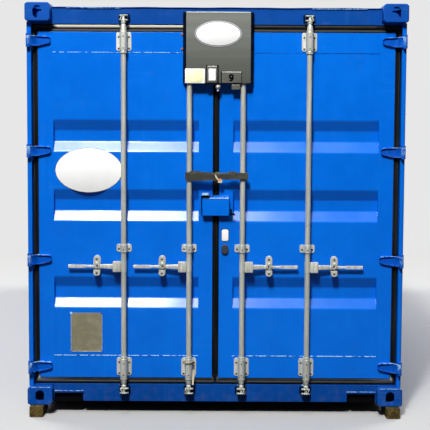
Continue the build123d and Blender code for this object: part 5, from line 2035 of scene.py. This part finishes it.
        # Pale flaked cap on the tab's top as painted highlight.
        cap = plate(rounded_outline(53, 15, 4), (-68.5, 1377.5), ((0, 29.0), (0, 27.0), (1.0, 26.2)))
        Piece("padlock_tab_top_highlight", WORN_EDGE_AND_HIGHLIGHT, "fitting_blue", "left_door").build(cap)
        band = Piece("torn_strap", WEBBING, "strap_grey", NODE_BODY["bar_strap"], replaces=("bar_strap",))
        band.marks = {"fray": self.fray}
        band.build(joined(self.strap(), self.scraps()))
        slip = pipe(
            np.array([(-4.0, 6.6, 1503.0), (0.0, 5.0, 1492.0), (8.0, 4.4, 1478.0), (18.0, 5.0, 1466.0)]),
            np.array([2.5, 4.5, 5.0, 4.0]),
            8,
            flat=0.3,
        )
        fold = plate(rounded_outline(27, 22, 5), (26.0, 1463.0), ((0, 7.4), (0, 6.2), (0.6, 5.6)))
        Piece("strap_tag", TAG_TAN, "strap_grey", NODE_BODY["bar_strap"]).build(joined(slip, fold))
        mark = plate(rounded_outline(18, 15, 6), (27.0, 1471.0), ((0, 5.8), (0, 4.8), (0.5, 4.4)))
        Piece("strap_tag_mark", TAG_ORANGE, "strap_grey", NODE_BODY["bar_strap"]).build(mark)
        turn = full_turn(40)
        path = stacked(
            -BAR_PLACES[0] + 29.0 * np.cos(turn),
            38.0 + 28.5 * np.sin(turn),
            284.0 + 5.0 * np.sin(turn) + 3.0 * np.cos(turn),
        )
        Piece("bracket_wire_ring", TIE_WIRE, "galvanised", "left_door").build(pipe(path, 4.2, 8, closed=True))
        length = np.linspace(0, 1, 20)
        ribbon = stacked(
            -142.0 + 2.0 * np.sin(length * 5), 14.0 + 5.0 * np.sin(length * 3), 236.0 - 100.0 * length
        )
        Piece("bracket_paper_tag", TAG_TAN, "galvanised", "left_door").build(
            pipe(ribbon, 6.0 - 2.4 * np.cos(length * 7) * 0.5, 8, flat=0.16)
        )


# Studio


@dataclass(frozen=True)
class Lamp:
    """A soft rectangular lamp; azimuth 0 is straight before the doors, and its angles are in degrees."""

    name: str
    target: Place
    azimuth: float
    elevation: float
    size: Pair
    power: float
    distance: float = 13.0

    def build(self) -> None:
        """Adds the lamp, turned to its target."""
        azimuth, elevation = math.radians(self.azimuth), math.radians(self.elevation)
        level = math.cos(elevation)
        toward = Vector((math.sin(azimuth) * level, -math.cos(azimuth) * level, math.sin(elevation)))
        data = bpy.data.lights.new(self.name, "AREA")
        data.shape = "RECTANGLE"
        data.size, data.size_y = self.size
        data.energy = self.power
        made = bpy.data.objects.new(self.name, data)
        made.location = Vector(self.target) + self.distance * toward
        made.rotation_euler = toward.to_track_quat("Z", "Y").to_euler()
        bpy.context.scene.collection.objects.link(made)


@dataclass
class Studio:
    """Floor, light and camera."""

    camera_place: Place = (0.0, -10.029, 1.860)
    pitch: float = 0.0776
    yaw: float = -0.0007
    roll: float = -0.005
    lens: float = 91.67
    sensor: float = 36.0
    lamps: tuple[Lamp, ...] = (
        Lamp("high", DOORS_MIDDLE, -11.2, 50.5, (3.4, 1.6), 800.0),
        Lamp("key", DOORS_MIDDLE, -12.0, 45.0, (0.9, 0.9), 1420.0),
        Lamp("above", DOORS_MIDDLE, -12.0, 74.0, (4.0, 2.0), 340.0),
        Lamp("left_fill", BOX_MIDDLE, -122.0, 32.0, (6.0, 4.0), 1500.0),
        Lamp("right_fill", BOX_MIDDLE, 122.0, 32.0, (6.0, 4.0), 1500.0),
    )
    world_level: float = 0.03
    gloss_front: float = 0.03
    gloss_back: float = 0.9
    gloss_above: float = 1.2
    floor_colour: RGB = (0.5, 0.5, 0.49)
    far_colour: RGB = (0.8, 0.8, 0.8)
    floor_bounce: float = 0.15
    fade: Pair = (2.8, 9.0)

    def camera(self) -> None:
        """Places the camera: forward from yaw and pitch, then rolled about its own axis."""
        forward = Vector((
            math.sin(self.yaw) * math.cos(self.pitch),
            math.cos(self.yaw) * math.cos(self.pitch),
            -math.sin(self.pitch),
        ))
        level = Vector((math.cos(self.yaw), -math.sin(self.yaw), 0.0))
        down = forward.cross(level)
        right = math.cos(self.roll) * level + math.sin(self.roll) * down
        up = -(math.cos(self.roll) * down - math.sin(self.roll) * level)
        data = bpy.data.cameras.new("view")
        data.lens = self.lens
        data.sensor_width = self.sensor
        made = bpy.data.objects.new("view", data)
        columns = (right, up, -forward)
        rows = [[*(column[row] for column in columns), self.camera_place[row]] for row in range(3)]
        made.matrix_world = Matrix([*rows, [0, 0, 0, 1]])
        bpy.context.scene.collection.objects.link(made)
        bpy.context.scene.camera = made

    def world(self) -> None:
        """Even light all round, a white surround to the camera, and to gloss a white back and dim front."""
        made = bpy.data.worlds.new("surround")
        bpy.context.scene.world = made
        made.use_nodes = True
        kit = NodeKit("surround", made.node_tree)
        rays = kit.node("ShaderNodeLightPath")
        camera, glossy, through = (
            Value(kit, rays.socket.node.outputs[f"Is {kind} Ray"])
            for kind in ("Camera", "Glossy", "Transmission")
        )
        direction = kit.node("ShaderNodeTexCoord", output="Generated")
        back = kit.node("ShaderNodeSeparateXYZ", None, {"Vector": direction}, "Y").step(-0.5, 0.7)
        above = kit.node("ShaderNodeSeparateXYZ", None, {"Vector": direction}, "Z").step(0.35, 0.75)
        mirrored_level = (back * self.gloss_back).larger(above * self.gloss_above) + self.gloss_front
        even = kit.node("ShaderNodeBackground", None, {"Strength": self.world_level})
        reflected = kit.node("ShaderNodeBackground", None, {"Strength": mirrored_level})
        shown = kit.node("ShaderNodeBackground", None, {"Color": (*self.far_colour, 1.0), "Strength": 1.0})
        for_gloss = kit.node("ShaderNodeMixShader", None, {0: glossy.larger(through), 1: even, 2: reflected})
        whole = kit.node("ShaderNodeMixShader", None, {0: camera, 1: for_gloss, 2: shown})
        kit.node("ShaderNodeOutputWorld", None, {"Surface": whole})

    def floor(self) -> None:
        """A wide pale floor that fades into the surround."""
        span = np.linspace(-30, 30, 9)
        x, y = np.meshgrid(span, span)
        shape = Shape().grids(stacked(x / MM, y / MM - DOOR_END, np.array(-UNDERSIDE)))
        mesh = bpy.data.meshes.new("floor")
        mesh.from_pydata(shape.placed().tolist(), [], shape.faces)
        kit = NodeKit("floor_pale")
        grit = kit.noise(1.5, 5.0)
        rays = kit.node("ShaderNodeLightPath").socket.node.outputs
        seen = Value(kit, rays["Is Camera Ray"]).larger(Value(kit, rays["Is Transmission Ray"]))
        pale = kit.mix(grit * 0.2, self.floor_colour, tuple(0.94 * v for v in self.floor_colour))
        colour = kit.mix(seen, tuple(self.floor_bounce * v for v in self.floor_colour), pale)
        near = kit.node("ShaderNodeBsdfDiffuse", None, {"Color": colour})
        far = kit.node("ShaderNodeEmission", None, {"Color": (*self.far_colour, 1.0)})
        away = kit.node("ShaderNodeVectorMath", {"operation": "LENGTH"}, {0: kit.place}, "Value")
        away = away.step(*self.fade)
        whole = kit.node("ShaderNodeMixShader", None, {0: away * seen, 1: near, 2: far})
        kit.node("ShaderNodeOutputMaterial", None, {"Surface": whole})
        mesh.materials.append(kit.material)
        made = bpy.data.objects.new("floor", mesh)
        bpy.context.scene.collection.objects.link(made)

    def build(self) -> None:
        """Sets up the studio."""
        bpy.context.scene.view_settings.view_transform = "Standard"
        self.camera()
        self.world()
        self.floor()
        for lamp in self.lamps:
            lamp.build()
        log.info("studio ready")


def main() -> None:
    """Builds the container piece by piece, then the studio."""
    logging.basicConfig(level=logging.INFO, format="%(message)s")
    EndFrame().build()
    Shell().build()
    for side in Side:
        Leaf(side).build()
    Hinges().build()
    LockingGear().build()
    LockCover().build()
    Signs().build()
    Padlocking().build()
    Studio().build()


if __name__ == "__main__":
    main()
